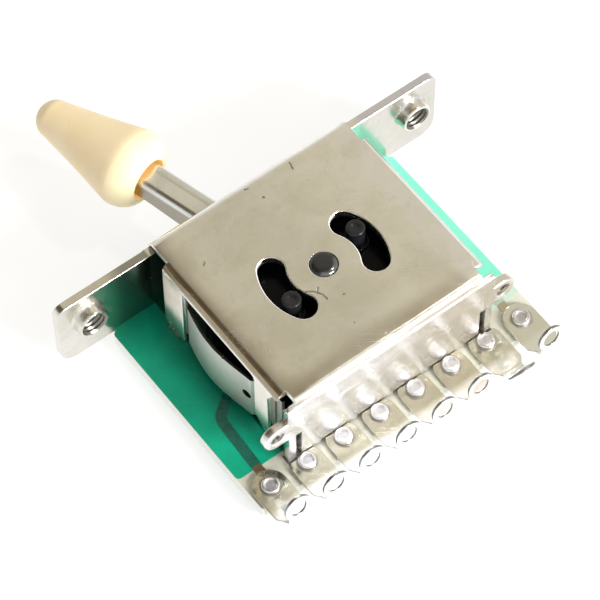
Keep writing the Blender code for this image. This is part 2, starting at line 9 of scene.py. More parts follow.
import bmesh
import bpy
from mathutils import Matrix, Vector
from mathutils import noise as mn


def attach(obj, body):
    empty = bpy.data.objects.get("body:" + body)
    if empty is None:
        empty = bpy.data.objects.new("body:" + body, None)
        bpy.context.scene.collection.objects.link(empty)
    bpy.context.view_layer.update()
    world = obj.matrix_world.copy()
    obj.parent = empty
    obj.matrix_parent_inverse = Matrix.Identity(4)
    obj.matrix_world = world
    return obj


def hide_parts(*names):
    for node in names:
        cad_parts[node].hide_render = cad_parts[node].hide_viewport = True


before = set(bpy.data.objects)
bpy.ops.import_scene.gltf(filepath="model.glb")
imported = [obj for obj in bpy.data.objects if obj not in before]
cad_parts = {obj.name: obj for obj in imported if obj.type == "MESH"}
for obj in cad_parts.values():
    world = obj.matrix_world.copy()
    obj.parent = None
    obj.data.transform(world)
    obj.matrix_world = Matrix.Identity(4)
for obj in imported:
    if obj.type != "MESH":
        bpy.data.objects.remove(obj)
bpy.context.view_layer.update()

MM = 0.001

SHEET = 1.0
PLATE_HALF = 24.1
PLATE_TOP, PLATE_BOTTOM = 9.1, -0.6
SCREW_X, SCREW_Z = 20.65, 5.6
SCREW_HOLE_R, COLLAR_R, COLLAR_LEN = 1.25, 1.85, 1.4
LEVER_SLOT_HALF, LEVER_SLOT_Z0, LEVER_SLOT_Z1 = 10.8, 2.5, 7.5
COVER_TOP = 10.7
COVER_HALF = 12.95
COVER_FLAT_HALF = 12.17
FRONT_BEND_R, SIDE_BEND_R, REAR_BEND_R = 1.5, 0.95, 1.0
REAR_FACE = 24.35
REAR_BOTTOM, REAR_TOOTH = 0.5, 0.15
WALL_TOP_BAND = 9.45
FRONT_PILLAR = (3.5, 6.7)
REAR_PILLAR = (18.7, 20.9)
PILLAR_BOTTOM = 0.3
TAB_BOTTOM = -2.2
EAR_END, EAR_Z, EAR_HALF, EAR_HOLE_X, EAR_HOLE_R = 15.75, 6.3, 1.5, 14.18, 0.8
LEG_X0, LEG_X1, LEG_TOP = 12.0, 12.85, 4.8
SLIT = 0.7
BOARD_HALF, BOARD_Y0, BOARD_Y1, BOARD_T = 18.14, 1.3, 27.0, 1.6
PIVOT_Y = 13.12
REST_TILT = 15.5
SLOT_R, SLOT_HALF_ANGLE, SLOT_WIDTH = 5.28, 30.0, 2.9
ROTOR_Z0, ROTOR_Z1 = 1.6, 8.2
ROTOR_HUB_R = 8.6
LOBE_R = 12.5
LOBE_FACETS = (-24.0, -8.0, 8.0)
LOBE_ENDS = (-35.0, 18.0)
PIN_R, PIN_TOP = 1.0, 11.0
JOURNAL_R, JOURNAL_TOP = 1.42, 11.05
LOWER_JOURNAL_R = 1.95
BORE_PLAY = 0.06
LEVER_HALF, LEVER_TOP, LEVER_SHEET = 1.65, 6.8, 0.6
LEVER_START, LEVER_END = 3.6, 31.0
LEVER_LEG_Z = ((3.6, 3.4), (13.2, 3.4), (21.2, 4.1), (31.0, 4.2))
CAP_Z = 5.34
CAP_TIP, CAP_TIP_R, CAP_TIP_LEN = 37.07, 2.16, 1.98
CAP_SHOULDER, CAP_SHOULDER_R = 25.4, 4.4
CAP_BASE, CAP_OPENING_R, CAP_HOLE_END = 22.6, 2.35, 32.5
LEAF_T = 0.35
LEAF_Z0, LEAF_Z1 = 0.9, 7.6
LEAF_HOLE = (4.3, 4.4, 0.57)
LUG_COUNT, LUG_PITCH, RIVET_Y = 8, 4.58, 25.46
RIVET_HEAD_R, RIVET_SHANK_R, RIVET_TOP = 0.975, 0.7, 0.85
LUG_T, LUG_Z, LUG_HALF, LUG_NOSE_R = 0.35, 0.05, 1.9, 1.9
LUG_BEND_Y, LUG_BEND_R = 29.74, 0.55
LUG_BEND_UP = (101.0, 97.0, 99.0, 98.0, 98.5, 97.5, 64.0, 98.0)
NECK_HALF, RING_R, RING_HOLE_R, RING_ARM = 1.25, 1.6, 0.97, 1.83

# ---------------------------------------------------------------- geometry


def arc(cx, cy, r, a0, a1, steps):
    """Points on a circle from angle a0 to a1, both ends included."""
    points = []
    for i in range(steps + 1):
        a = math.radians(a0 + (a1 - a0) * i / steps)
        points.append((cx + r * math.cos(a), cy + r * math.sin(a)))
    return points


def moved_out(points, d):
    """A counter-clockwise outline moved outwards by d."""
    if d == 0:
        return list(points)
    out = []
    count = len(points)
    for i in range(count):
        ax, ay = points[i - 1]
        bx, by = points[i]
        cx, cy = points[(i + 1) % count]
        n1 = Vector((by - ay, ax - bx)).normalized()
        n2 = Vector((cy - by, bx - cx)).normalized()
        middle = n1 + n2
        if middle.length < 1e-6:
            middle = n1.copy()
        middle.normalize()
        k = d / max(middle.dot(n1), 0.4)
        out.append((bx + middle.x * k, by + middle.y * k))
    return out


def placed(outline, level, axis):
    if axis == "Z":
        return [(u, v, level) for u, v in outline]
    if axis == "Y":
        return [(u, level, v) for u, v in outline]
    return [(level, u, v) for u, v in outline]


def skin(rings, caps=True):
    """Joins rings of points into one closed skin."""
    bm = bmesh.new()
    made = [[bm.verts.new(p) for p in ring] for ring in rings]
    count = len(made[0])
    for low, high in zip(made, made[1:]):
        for i in range(count):
            j = (i + 1) % count
            bm.faces.new((low[i], low[j], high[j], high[i]))
    if caps:
        bm.faces.new(made[-1])
        bm.faces.new(made[0][::-1])
    bmesh.ops.recalc_face_normals(bm, faces=bm.faces)
    return bm


def levels_prism(outline, levels, axis="Z"):
    """Outline raised along an axis through (outward offset, level) steps."""
    return skin([placed(moved_out(outline, d), level, axis) for d, level in levels])


def prism(outline, low, high, axis="Z"):
    return levels_prism(outline, ((0, low), (0, high)), axis)


def soft_prism(outline, low, high, r, axis="Z", steps=3, low_r=None):
    """A prism whose long edges are rounded by r at the high end, low_r at the low end."""
    low_r = r if low_r is None else low_r
    levels = []
    for i in range(steps + 1):
        a = math.pi / 2 * i / steps
        levels.append((-low_r * (1 - math.sin(a)), low + low_r * (1 - math.cos(a))))
    for i in range(steps + 1):
        a = math.pi / 2 * i / steps
        levels.append((-r * (1 - math.cos(a)), high - r * (1 - math.sin(a))))
    return levels_prism(outline, levels, axis)


def hole_cutter(outline, low, high, r, axis="Z", steps=4, both=True):
    """Cutter for a hole through a sheet from low to high, with rims rounded by r."""
    levels = []
    if both:
        levels.append((r, low - 1.5))
        for i in range(steps + 1):
            a = math.pi / 2 * i / steps
            levels.append((r * (1 - math.sin(a)), low + r * (1 - math.cos(a))))
    else:
        levels.append((0, low - 1.5))
    for i in range(steps + 1):
        a = math.pi / 2 * i / steps
        levels.append((r * (1 - math.cos(a)), high - r * (1 - math.sin(a))))
    levels.append((r, high + 1.5))
    return levels_prism(outline, levels, axis)


def box(x0, x1, y0, y1, z0, z1):
    return prism([(x0, y0), (x1, y0), (x1, y1), (x0, y1)], z0, z1)


def circle(x, y, r, steps):
    return arc(x, y, r, 0, 360 - 360 / steps, steps - 1)


def cylinder(x, y, r, z0, z1, steps=48, axis="Z"):
    return prism(circle(x, y, r, steps), z0, z1, axis)


def lathe(profile, steps, origin=(0, 0, 0), direction="Z"):
    """Turns (radius, height) points about an axis; a radius of 0 closes an end."""
    bm = bmesh.new()
    rings = []
    for r, h in profile:
        if r == 0:
            rings.append([bm.verts.new((0, 0, h))])
            continue
        rings.append(
            [
                bm.verts.new((r * math.cos(math.tau * i / steps), r * math.sin(math.tau * i / steps), h))
                for i in range(steps)
            ]
        )
    for low, high in zip(rings, rings[1:]):
        for i in range(steps):
            j = (i + 1) % steps
            if len(low) == 1:
                bm.faces.new((low[0], high[j], high[i]))
            elif len(high) == 1:
                bm.faces.new((low[i], low[j], high[0]))
            else:
                bm.faces.new((low[i], low[j], high[j], high[i]))
    bmesh.ops.recalc_face_normals(bm, faces=bm.faces)
    if direction == "-Y":
        bmesh.ops.rotate(
            bm, verts=bm.verts, cent=(0, 0, 0), matrix=Matrix.Rotation(math.radians(90), 3, "X")
        )
    bmesh.ops.translate(bm, verts=bm.verts, vec=Vector(origin))
    return bm


def turned(bm, degrees):
    """Turns a mesh about the pivot's axis and moves it there."""
    bmesh.ops.rotate(
        bm, verts=bm.verts, cent=(0, 0, 0), matrix=Matrix.Rotation(math.radians(degrees), 3, "Z")
    )
    bmesh.ops.translate(bm, verts=bm.verts, vec=Vector((0, PIVOT_Y, 0)))
    return bm


def object_of(name, bm):
    bmesh.ops.scale(bm, vec=(MM, MM, MM), verts=bm.verts)
    mesh = bpy.data.meshes.new(name)
    bm.to_mesh(mesh)
    bm.free()
    obj = bpy.data.objects.new(name, mesh)
    bpy.context.scene.collection.objects.link(obj)
    return obj


def solved(name, base, steps):
    """Runs a list of ("cut" or "join" or "keep", mesh) on base and returns the finished object."""
    obj = object_of(name, base)
    helpers = []
    for i, (kind, bm) in enumerate(steps):
        other = object_of(name + "_tool%d" % i, bm)
        other.hide_render = True
        helpers.append(other)
        mod = obj.modifiers.new("step%d" % i, "BOOLEAN")
        mod.operation = {"cut": "DIFFERENCE", "join": "UNION", "keep": "INTERSECT"}[kind]
        mod.solver = "EXACT"
        mod.object = other
    bpy.context.view_layer.update()
    graph = bpy.context.evaluated_depsgraph_get()
    mesh = bpy.data.meshes.new_from_object(obj.evaluated_get(graph))
    mesh.name = name
    obj.modifiers.clear()
    obj.data = mesh
    for other in helpers:
        bpy.data.objects.remove(other, do_unlink=True)
    return obj


def finished(obj, mat, body, replaces=(), angle=32.0, weighted=True, other=None, where=None):
    """Shades a piece, gives it its material and puts it on its body.

    The faces whose corners in mm all pass the test `where` get the material `other`.
    """
    mesh = obj.data
    mesh.materials.clear()
    mesh.materials.append(mat)
    if other:
        mesh.materials.append(other)
    for poly in mesh.polygons:
        inside = other and all(where(mesh.vertices[v].co / MM, poly.normal) for v in poly.vertices)
        poly.material_index = 1 if inside else 0
    mesh.shade_smooth()
    mesh.set_sharp_from_angle(angle=math.radians(angle))
    if weighted:
        mod = obj.modifiers.new("normals", "WEIGHTED_NORMAL")
        mod.keep_sharp = True
        mod.weight = 80
    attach(obj, body)
    if replaces:
        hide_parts(*replaces)
    return obj

# ---------------------------------------------------------------- materials


class Surface:
    """Short names for the nodes of one material."""

    def __init__(self, name):
        self.mat = bpy.data.materials.new(name)
        self.mat.use_nodes = True
        self.tree = self.mat.node_tree
        self.tree.nodes.clear()
        out = self.new("ShaderNodeOutputMaterial")
        self.shader = self.new("ShaderNodeBsdfPrincipled")
        self.tree.links.new(self.shader.outputs["BSDF"], out.inputs["Surface"])
        self.here = self.new("ShaderNodeTexCoord").outputs["Object"]

    def new(self, kind, **settings):
        node = self.tree.nodes.new(kind)
        for key, value in settings.items():
            setattr(node, key, value)
        return node

    def feed(self, value, socket):
        if isinstance(value, bpy.types.NodeSocket):
            self.tree.links.new(value, socket)
        elif isinstance(value, (tuple, list)) and socket.type == "RGBA" and len(value) == 3:
            socket.default_value = (*value, 1.0)
        else:
            socket.default_value = value

    def set(self, **values):
        for key, value in values.items():
            self.feed(value, self.shader.inputs[key.replace("_", " ")])

    def math(self, op, a, b=0.0, c=0.0, clamp=False):
        node = self.new("ShaderNodeMath", operation=op, use_clamp=clamp)
        for value, socket in zip((a, b, c), node.inputs):
            self.feed(value, socket)
        return node.outputs[0]

    def vector(self, op, a, b=(0, 0, 0), scale=1.0, out=0):
        node = self.new("ShaderNodeVectorMath", operation=op)
        self.feed(a, node.inputs[0])
        self.feed(b, node.inputs[1])
        if op == "SCALE":
            self.feed(scale, node.inputs["Scale"])
        return node.outputs[out]

    def part(self, which, vector=None):
        node = self.new("ShaderNodeSeparateXYZ")
        self.feed(vector or self.here, node.inputs[0])
        return node.outputs[which]

    def mapped(self, scale=(1, 1, 1), turn=(0, 0, 0), shift=(0, 0, 0)):
        """Object coordinates turned, then stretched."""
        first = self.new("ShaderNodeMapping")
        self.feed(self.here, first.inputs["Vector"])
        first.inputs["Rotation"].default_value = [math.radians(a) for a in turn]
        first.inputs["Location"].default_value = [v * MM for v in shift]
        second = self.new("ShaderNodeMapping")
        self.feed(first.outputs[0], second.inputs["Vector"])
        second.inputs["Scale"].default_value = scale
        return second.outputs[0]

    def noise(self, size, detail=3.0, rough=0.5, warp=0.0, vector=None, color=False):
        node = self.new("ShaderNodeTexNoise")
        self.feed(vector or self.here, node.inputs["Vector"])
        node.inputs["Scale"].default_value = 1.0 / (size * MM)
        node.inputs["Detail"].default_value = detail
        node.inputs["Roughness"].default_value = rough
        node.inputs["Distortion"].default_value = warp
        return node.outputs["Color" if color else "Fac"]

    def cells(self, size, vector=None, out="Distance", feature="F1", random=1.0):
        node = self.new("ShaderNodeTexVoronoi", feature=feature)
        self.feed(vector or self.here, node.inputs["Vector"])
        node.inputs["Scale"].default_value = 1.0 / (size * MM)
        node.inputs["Randomness"].default_value = random
        return node.outputs[out]

    def remap(self, value, a, b, c=0.0, d=1.0, kind="SMOOTHSTEP"):
        node = self.new("ShaderNodeMapRange", interpolation_type=kind)
        self.feed(value, node.inputs["Value"])
        for key, number in (("From Min", a), ("From Max", b), ("To Min", c), ("To Max", d)):
            self.feed(number, node.inputs[key])
        return node.outputs["Result"]

    def mix(self, fac, a, b, mode="MIX"):
        node = self.new("ShaderNodeMix", data_type="RGBA", blend_type=mode)
        self.feed(fac, node.inputs[0])
        self.feed(a, node.inputs[6])
        self.feed(b, node.inputs[7])
        return node.outputs[2]

    def bump(self, height, depth, strength=1.0, normal=None):
        node = self.new("ShaderNodeBump")
        self.feed(height, node.inputs["Height"])
        node.inputs["Distance"].default_value = depth * MM
        node.inputs["Strength"].default_value = strength
        if normal is not None:
            self.feed(normal, node.inputs["Normal"])
        return node.outputs["Normal"]

    def rounded_edges(self, radius):
        node = self.new("ShaderNodeBevel", samples=4)
        node.inputs["Radius"].default_value = radius * MM
        return node.outputs["Normal"]

    def scratches(self, turn, length, width, keep, shift=(0, 0, 0)):
        """Thin straight streaks, 1 on a scratch and 0 beside it."""
        base = self.mapped((1.0, length / width, length / width), turn, shift)
        fine = self.noise(length, 1.0, 0.3, vector=base)
        line = self.math("ABSOLUTE", self.math("SUBTRACT", fine, 0.5))
        line = self.remap(line, 0.0, 0.012, 1.0, 0.0)
        where = self.remap(self.noise(length * 0.8, 2.0, 0.6, vector=self.mapped(turn=turn, shift=(7, 3, 5))), keep, keep + 0.06)
        return self.math("MULTIPLY", line, where)

    def marks(self, segments, width):
        """1 on given segments of a flat face, ((x0, y0), (x1, y1)) in mm, and 0 off them."""
        total = None
        flat = self.vector("MULTIPLY", self.here, (1, 1, 0))
        wobble = self.noise(0.35, 2.0, 0.6)
        for (x0, y0), (x1, y1) in segments:
            run = Vector((x1 - x0, y1 - y0, 0)) * MM
            start = Vector((x0, y0, 0)) * MM
            away = self.vector("SUBTRACT", flat, tuple(start))
            along = self.vector("DOT_PRODUCT", away, tuple(run / run.length_squared), out=1)
            along = self.math("MULTIPLY", along, 1.0, clamp=True)
            nearest = self.vector("SCALE", tuple(run), scale=along)
            gap = self.vector("LENGTH", self.vector("SUBTRACT", away, nearest), out=1)
            gap = self.math("ADD", gap, self.math("MULTIPLY", self.math("SUBTRACT", wobble, 0.5), width * 1.6 * MM))
            mark = self.remap(gap, width * 0.35 * MM, width * MM, 1.0, 0.0)
            total = mark if total is None else self.math("MAXIMUM", total, mark)
        return total


def nickel(name, light, dark, rough=0.24, wave=0.02, wave_size=5.0, worn=0.6, marks=(), streaks=True, edge=0.07, grain=0.0012, shade_below=None, highlight_beyond=None, case=False, ringed=False):
    """Bright plating on stamped metal, with soft blotches, fine scratches and pits, and where asked painted light and
    shade.
    """
    s = Surface(name)
    blotch = s.noise(5.5, 5.0, 0.6, 0.4)
    mottled = s.noise(1.3, 4.0, 0.65)
    color = s.mix(s.remap(blotch, 0.35, 0.68), light, dark)
    dull = tuple(0.82 * v for v in dark)
    # painted shade: below a given height the colour is mixed towards a darker tint
    if shade_below:
        top, bottom, tint = shade_below
        color = s.mix(s.remap(s.part(2), top * MM, bottom * MM), color, tint)
    color = s.mix(s.math("MULTIPLY", s.remap(mottled, 0.56, 0.74), 0.35 * worn), color, dull)
    roughness = s.remap(blotch, 0.3, 0.7, rough - 0.04, rough + 0.05)
    pits = s.remap(s.cells(1.9), 0.035, 0.07, 1.0, 0.0)
    pits = s.math("MULTIPLY", pits, s.remap(s.noise(6.0, 2.0), 0.5, 0.62))
    # painted highlight: past a given y the colour is mixed towards near white
    if highlight_beyond:
        near, far, tint = highlight_beyond
        color = s.mix(s.remap(s.part(1), near * MM, far * MM), color, tint)
    if ringed:
        # painted light on the last lugs towards -X, and a painted shade ring round each rivet's head, which is also
        # made rougher
        color = s.mix(s.remap(s.part(0), -9.0 * MM, -15.5 * MM, 0.0, 0.7), color, (0.87, 0.885, 0.83))
        turns = s.math("ADD", s.math("DIVIDE", s.part(0), LUG_PITCH * MM), 4.0)
        off = s.math("MULTIPLY", s.math("SUBTRACT", s.math("FRACT", turns), 0.5), LUG_PITCH * MM)
        across = s.math("SUBTRACT", s.part(1), RIVET_Y * MM)
        away = s.math("SQRT", s.math("ADD", s.math("MULTIPLY", off, off), s.math("MULTIPLY", across, across)))
        away = s.math("ADD", away, s.math("MULTIPLY", s.math("SUBTRACT", s.noise(0.7, 3.0), 0.5), 0.5 * MM))
        flux_and_shade = s.remap(away, 1.34 * MM, 1.0 * MM)
        color = s.mix(s.math("MULTIPLY", flux_and_shade, 0.66), color, (0.17, 0.155, 0.11))
        roughness = s.math("ADD", roughness, s.math("MULTIPLY", flux_and_shade, 0.40))
    height = s.math("MULTIPLY", s.noise(wave_size, 2.0, 0.45), 1.0)
    normal = s.rounded_edges(edge) if edge else None
    normal = s.bump(height, wave, 1.0, normal)
    metal = 1.0
    if case:
        # the flat top rolls off towards its bends and the side walls flare, both as bumps; the rear wall gets painted
        # light, lighter in colour and less metallic, with painted shade towards -X and painted light towards +X
        x = s.math("ABSOLUTE", s.part(0))
        y = s.part(1)
        dx = s.math("MAXIMUM", s.math("SUBTRACT", x, 9.6 * MM), 0.0)
        dy = s.math("MAXIMUM", s.math("SUBTRACT", y, 20.9 * MM), 0.0)
        roll = s.math("ADD", s.math("MULTIPLY", dx, dx), s.math("MULTIPLY", dy, dy))
        on_top = s.remap(s.part(2), 9.9 * MM, 10.6 * MM)
        side = s.math("MULTIPLY", s.remap(x, 12.6 * MM, 12.9 * MM), s.remap(y, 23.6 * MM, 23.2 * MM))
        side = s.math("MULTIPLY", side, s.remap(y, 1.3 * MM, 1.9 * MM))
        side = s.math("MULTIPLY", side, s.remap(x, 13.3 * MM, 13.1 * MM))
        flare = s.math("MULTIPLY", s.math("MULTIPLY", s.part(2), side), -0.30)
        shape = s.math("ADD", s.math("MULTIPLY", s.math("MULTIPLY", roll, on_top), -33.0), flare)
        normal = s.bump(shape, 1000.0, 1.0, normal)
        rear = s.remap(y, 23.7 * MM, 24.3 * MM)
        metal = s.remap(y, 23.7 * MM, 24.3 * MM, 1.0, 0.80)
        lit_paler = s.mix(s.remap(blotch, 0.3, 0.7), (0.84, 0.825, 0.80), (0.77, 0.75, 0.72))
        signed = s.part(0)
        across = s.mix(s.remap(signed, -9.0 * MM, 9.0 * MM, kind="LINEAR"), (0.81, 0.77, 0.725), (1.14, 1.16, 1.24))
        color = s.mix(rear, color, s.mix(1.0, lit_paler, across, "MULTIPLY"))
        low = s.math("MULTIPLY", s.remap(s.part(2), 9.6 * MM, 6.5 * MM), s.remap(y, 19.5 * MM, 23.0 * MM))
        normal = s.bump(s.math("MULTIPLY", s.noise(2.4, 2.0, 0.5, 0.6), low), 0.11, 1.0, normal)
        # painted light makes the top lighter towards -X; painted shade greys the -X ear, less so and bluer on its
        # upward faces, and darkens the plate beside the +X wall as a painted dark reflection
        light_side = s.math("MULTIPLY", s.remap(signed, 2.0 * MM, -7.0 * MM), s.math("SUBTRACT", 1.0, rear))
        color = s.mix(light_side, color, (1.13, 1.125, 1.13), "MULTIPLY")
        shade_by_wall = s.math("MULTIPLY", s.remap(signed, 18.4 * MM, 15.6 * MM), s.remap(signed, 12.6 * MM, 12.9 * MM))
        shade_by_wall = s.math("MULTIPLY", shade_by_wall, s.remap(y, 1.3 * MM, 1.1 * MM))
        color = s.mix(s.math("MULTIPLY", shade_by_wall, 0.62), color, (0.12, 0.13, 0.12))
        ear = s.math("MULTIPLY", s.remap(signed, -13.2 * MM, -14.6 * MM), s.remap(y, 1.3 * MM, 1.1 * MM))
        facing = s.new("ShaderNodeNewGeometry").outputs["Normal"]
        up = s.remap(s.part(2, facing), 0.4, 0.8)
        # painted highlight on the faces towards -X of the rims of the holes in the top, which are also made less
        # metallic; painted brown shade on the +X bend
        rim = s.math("MULTIPLY", on_top, s.remap(s.part(2, facing), 0.985, 0.93))
        rim = s.math("MULTIPLY", rim, s.math("MULTIPLY", s.remap(x, 10.2 * MM, 9.8 * MM), s.remap(y, 21.6 * MM, 21.0 * MM)))
        rim = s.math("MULTIPLY", rim, s.remap(s.part(0, facing), 0.05, -0.25))
        color = s.mix(s.math("MULTIPLY", rim, 0.9), color, (0.99, 0.985, 0.96))
        metal = s.math("MULTIPLY", metal, s.math("SUBTRACT", 1.0, s.math("MULTIPLY", rim, 0.85)))
        bend = s.math("MULTIPLY", s.remap(s.part(0, facing), 0.16, 0.36), s.remap(s.part(0, facing), 0.97, 0.88))
        bend = s.math("MULTIPLY", bend, s.math("MULTIPLY", s.remap(signed, 11.6 * MM, 12.0 * MM), s.remap(s.part(2), 9.3 * MM, 9.7 * MM)))
        color = s.mix(bend, color, (0.72, 0.61, 0.44), "MULTIPLY")
        color = s.mix(ear, color, s.mix(up, (0.77, 0.77, 0.765), (0.84, 0.86, 1.02)), "MULTIPLY")
    grit = s.noise(0.12, 3.0, 0.7)
    normal = s.bump(grit, grain, 1.0, normal)
    if streaks:
        lines = s.math("MAXIMUM", s.scratches((0, 0, 32), 9.0, 0.12, 0.56), s.scratches((0, 0, -63), 7.0, 0.1, 0.58, (4, 9, 2)))
        color = s.mix(s.math("MULTIPLY", lines, 0.28 * worn), color, tuple(0.6 * v for v in dark))
        roughness = s.math("ADD", roughness, s.math("MULTIPLY", lines, 0.12))
        normal = s.bump(s.math("SUBTRACT", 1.0, lines), 0.004, 1.0, normal)
    scars = pits
    if marks:
        scars = s.math("MAXIMUM", pits, s.marks(marks, 0.14))
    color = s.mix(s.math("MULTIPLY", scars, 0.75), color, (0.16, 0.14, 0.11))
    roughness = s.math("ADD", roughness, s.math("MULTIPLY", scars, 0.25), clamp=True)
    normal = s.bump(s.math("SUBTRACT", 1.0, scars), 0.02, 0.8, normal)
    s.set(Base_Color=color, Roughness=roughness, Normal=normal, Metallic=metal)
    return s.mat


def black_moulding():
    s = Surface("satin_black_moulding")
    cloud = s.noise(2.5, 4.0, 0.6)
    color = s.mix(cloud, (0.005, 0.005, 0.0065), (0.018, 0.019, 0.021))
    dust = s.math("MULTIPLY", s.remap(s.cells(0.55), 0.05, 0.13, 1.0, 0.0), s.remap(s.noise(1.6, 2.0), 0.52, 0.62))
    color = s.mix(s.math("MULTIPLY", dust, 0.35), color, (0.22, 0.21, 0.19))
    rough = s.remap(s.noise(0.9, 4.0, 0.6), 0.3, 0.7, 0.14, 0.26)
    normal = s.bump(s.noise(0.12, 3.0, 0.6), 0.0012, 1.0, s.rounded_edges(0.1))
    # painted shade: below the cover's top the moulding turns near black
    shade_in_case = s.remap(s.part(2), 9.4 * MM, 8.7 * MM)
    color = s.mix(shade_in_case, color, (0.0025, 0.0025, 0.003))
    s.set(Base_Color=color, Roughness=rough, Normal=normal, IOR=1.52)
    shine = s.remap(s.part(2), 9.4 * MM, 8.7 * MM, 0.55, 0.16)
    # the journal's shoulder is polished by the cover's bore
    across = s.math("SUBTRACT", s.part(1), PIVOT_Y * MM)
    away = s.math("SQRT", s.math("ADD", s.math("MULTIPLY", s.part(0), s.part(0)), s.math("MULTIPLY", across, across)))
    rim = s.math("MULTIPLY", s.remap(away, 0.85 * MM, 1.1 * MM), s.remap(away, 1.7 * MM, 1.5 * MM))
    rim = s.math("MULTIPLY", rim, s.remap(s.part(2), 10.0 * MM, 10.3 * MM))
    rim = s.math("MULTIPLY", rim, s.remap(s.math("SUBTRACT", across, s.math("MULTIPLY", s.part(0), 0.35)), 0.25 * MM, 0.75 * MM))
    shine = s.math("MULTIPLY", shine, s.remap(away, 1.7 * MM, 2.2 * MM, 1.0, 0.55))
    s.feed(s.math("ADD", shine, s.math("MULTIPLY", rim, 0.45)), s.shader.inputs["Specular IOR Level"])
    s.feed(rim, s.shader.inputs["Coat Weight"])
    s.shader.inputs["Coat Roughness"].default_value = 0.08
    s.shader.inputs["Coat IOR"].default_value = 1.9
    return s.mat


def cream_plastic():
    """Cream moulding with painted light whiter round its base, painted shade at the tip, and a painted amber glow in
    the lever's opening.
    """
    s = Surface("cream_moulding")
    turn = math.radians(REST_TILT)
    axis = (math.sin(turn), -math.cos(turn), 0.0)
    away = s.vector("SUBTRACT", s.here, (0.0, PIVOT_Y * MM, CAP_Z * MM))
    along = s.vector("DOT_PRODUCT", away, axis, out=1)
    nearest = s.vector("SCALE", axis, scale=along)
    radius = s.vector("LENGTH", s.vector("SUBTRACT", away, nearest), out=1)
    tone = s.noise(4.0, 4.0, 0.55)
    color = s.mix(s.remap(tone, 0.3, 0.7), (0.86, 0.695, 0.435), (0.885, 0.745, 0.50))
    # painted light: whiter round the base
    lit_paler = s.remap(along, 26.2 * MM, 22.8 * MM)
    color = s.mix(s.math("MULTIPLY", lit_paler, 0.85), color, (0.90, 0.81, 0.52))
    # painted shade: darker at the tip
    tip = s.remap(along, 33.0 * MM, 37.2 * MM)
    color = s.mix(s.math("MULTIPLY", tip, 0.55), color, (0.76, 0.61, 0.36))
    # painted glow: amber in the opening, which also emits light
    inside = s.remap(radius, 2.50 * MM, 2.36 * MM)
    inside = s.math("MULTIPLY", inside, s.remap(along, 33.0 * MM, 32.4 * MM))
    color = s.mix(inside, color, (0.86, 0.55, 0.20))
    speck = s.math("MULTIPLY", s.remap(s.cells(1.6), 0.03, 0.08, 1.0, 0.0), s.remap(s.noise(5.0, 2.0), 0.5, 0.6))
    color = s.mix(s.math("MULTIPLY", speck, 0.3), color, (0.45, 0.33, 0.18))
    rough = s.remap(s.noise(1.5, 4.0, 0.6), 0.3, 0.7, 0.36, 0.5)
    normal = s.bump(s.noise(0.22, 3.0, 0.6), 0.006, 1.0)
    normal = s.bump(s.noise(3.0, 2.0, 0.5), 0.05, 1.0, normal)
    s.set(Base_Color=color, Roughness=rough, Normal=normal, IOR=1.49)
    s.set(Emission_Color=(1.0, 0.60, 0.20))
    s.feed(s.math("MULTIPLY", inside, s.remap(along, 30.0 * MM, 22.6 * MM, 0.0, 0.42)), s.shader.inputs["Emission Strength"])
    s.shader.inputs["Subsurface Weight"].default_value = 0.35
    s.shader.inputs["Subsurface Radius"].default_value = (1.0, 0.62, 0.3)
    s.shader.inputs["Subsurface Scale"].default_value = 0.0012
    return s.mat


def solder_mask():
    s = Surface("green_solder_mask")
    cloud = s.noise(7.0, 4.0, 0.55)
    color = s.mix(s.remap(cloud, 0.3, 0.7), (0.0015, 0.34, 0.190), (0.003, 0.44, 0.265))
    weave = s.math("MULTIPLY", s.noise(0.5, 2.0, 0.5, vector=s.mapped((6, 1, 1))), s.noise(0.5, 2.0, 0.5, vector=s.mapped((1, 6, 1))))
    color = s.mix(s.math("MULTIPLY", s.remap(weave, 0.15, 0.4), 0.22), color, (0.02, 0.40, 0.27))
    specks = s.math("MULTIPLY", s.remap(s.cells(1.1), 0.04, 0.08, 1.0, 0.0), s.remap(s.noise(4.0, 2.0), 0.55, 0.65))
    color = s.mix(s.math("MULTIPLY", specks, 0.45), color, (0.35, 0.55, 0.47))
    rough = s.remap(s.noise(2.2, 4.0, 0.6), 0.3, 0.7, 0.20, 0.32)
    normal = s.bump(weave, 0.010, 1.0)
    normal = s.bump(s.noise(1.8, 3.0, 0.5), 0.02, 1.0, normal)
    x = s.part(0)
    # painted light: the -X side of the mask is lighter, and greyer past 21 mm
    lit_minus_x_side = s.remap(x, -10.0 * MM, -13.2 * MM)
    pale = s.mix(s.remap(s.part(1), 20.6 * MM, 21.8 * MM), (0.25, 0.74, 0.58), (0.60, 0.68, 0.60))
    color = s.mix(s.math("MULTIPLY", lit_minus_x_side, 0.8), color, pale)
    # painted shade: darker under the case, beside the +X wall and towards the front, on the top face only
    under = s.remap(s.math("ABSOLUTE", x), 12.95 * MM, 12.4 * MM)
    beside = s.math("MULTIPLY", s.remap(x, 16.6 * MM, 12.9 * MM, 0.0, 0.55), s.remap(s.part(1), 21.0 * MM, 15.0 * MM))
    front = s.remap(s.part(1), 5.5 * MM, 1.3 * MM, 0.0, 0.4)
    shade = s.math("MAXIMUM", s.math("MULTIPLY", s.math("MAXIMUM", beside, front), s.remap(x, -9.0 * MM, 9.0 * MM)), s.math("MULTIPLY", under, 0.93))
    shade = s.math("MULTIPLY", shade, s.remap(s.part(2), -1.0 * MM, -0.6 * MM))
    color = s.mix(shade, color, (0.0006, 0.02, 0.011))
    s.set(Base_Color=color, Roughness=rough, Normal=normal, IOR=1.5)
    s.shader.inputs["Specular IOR Level"].default_value = 0.22
    return s.mat


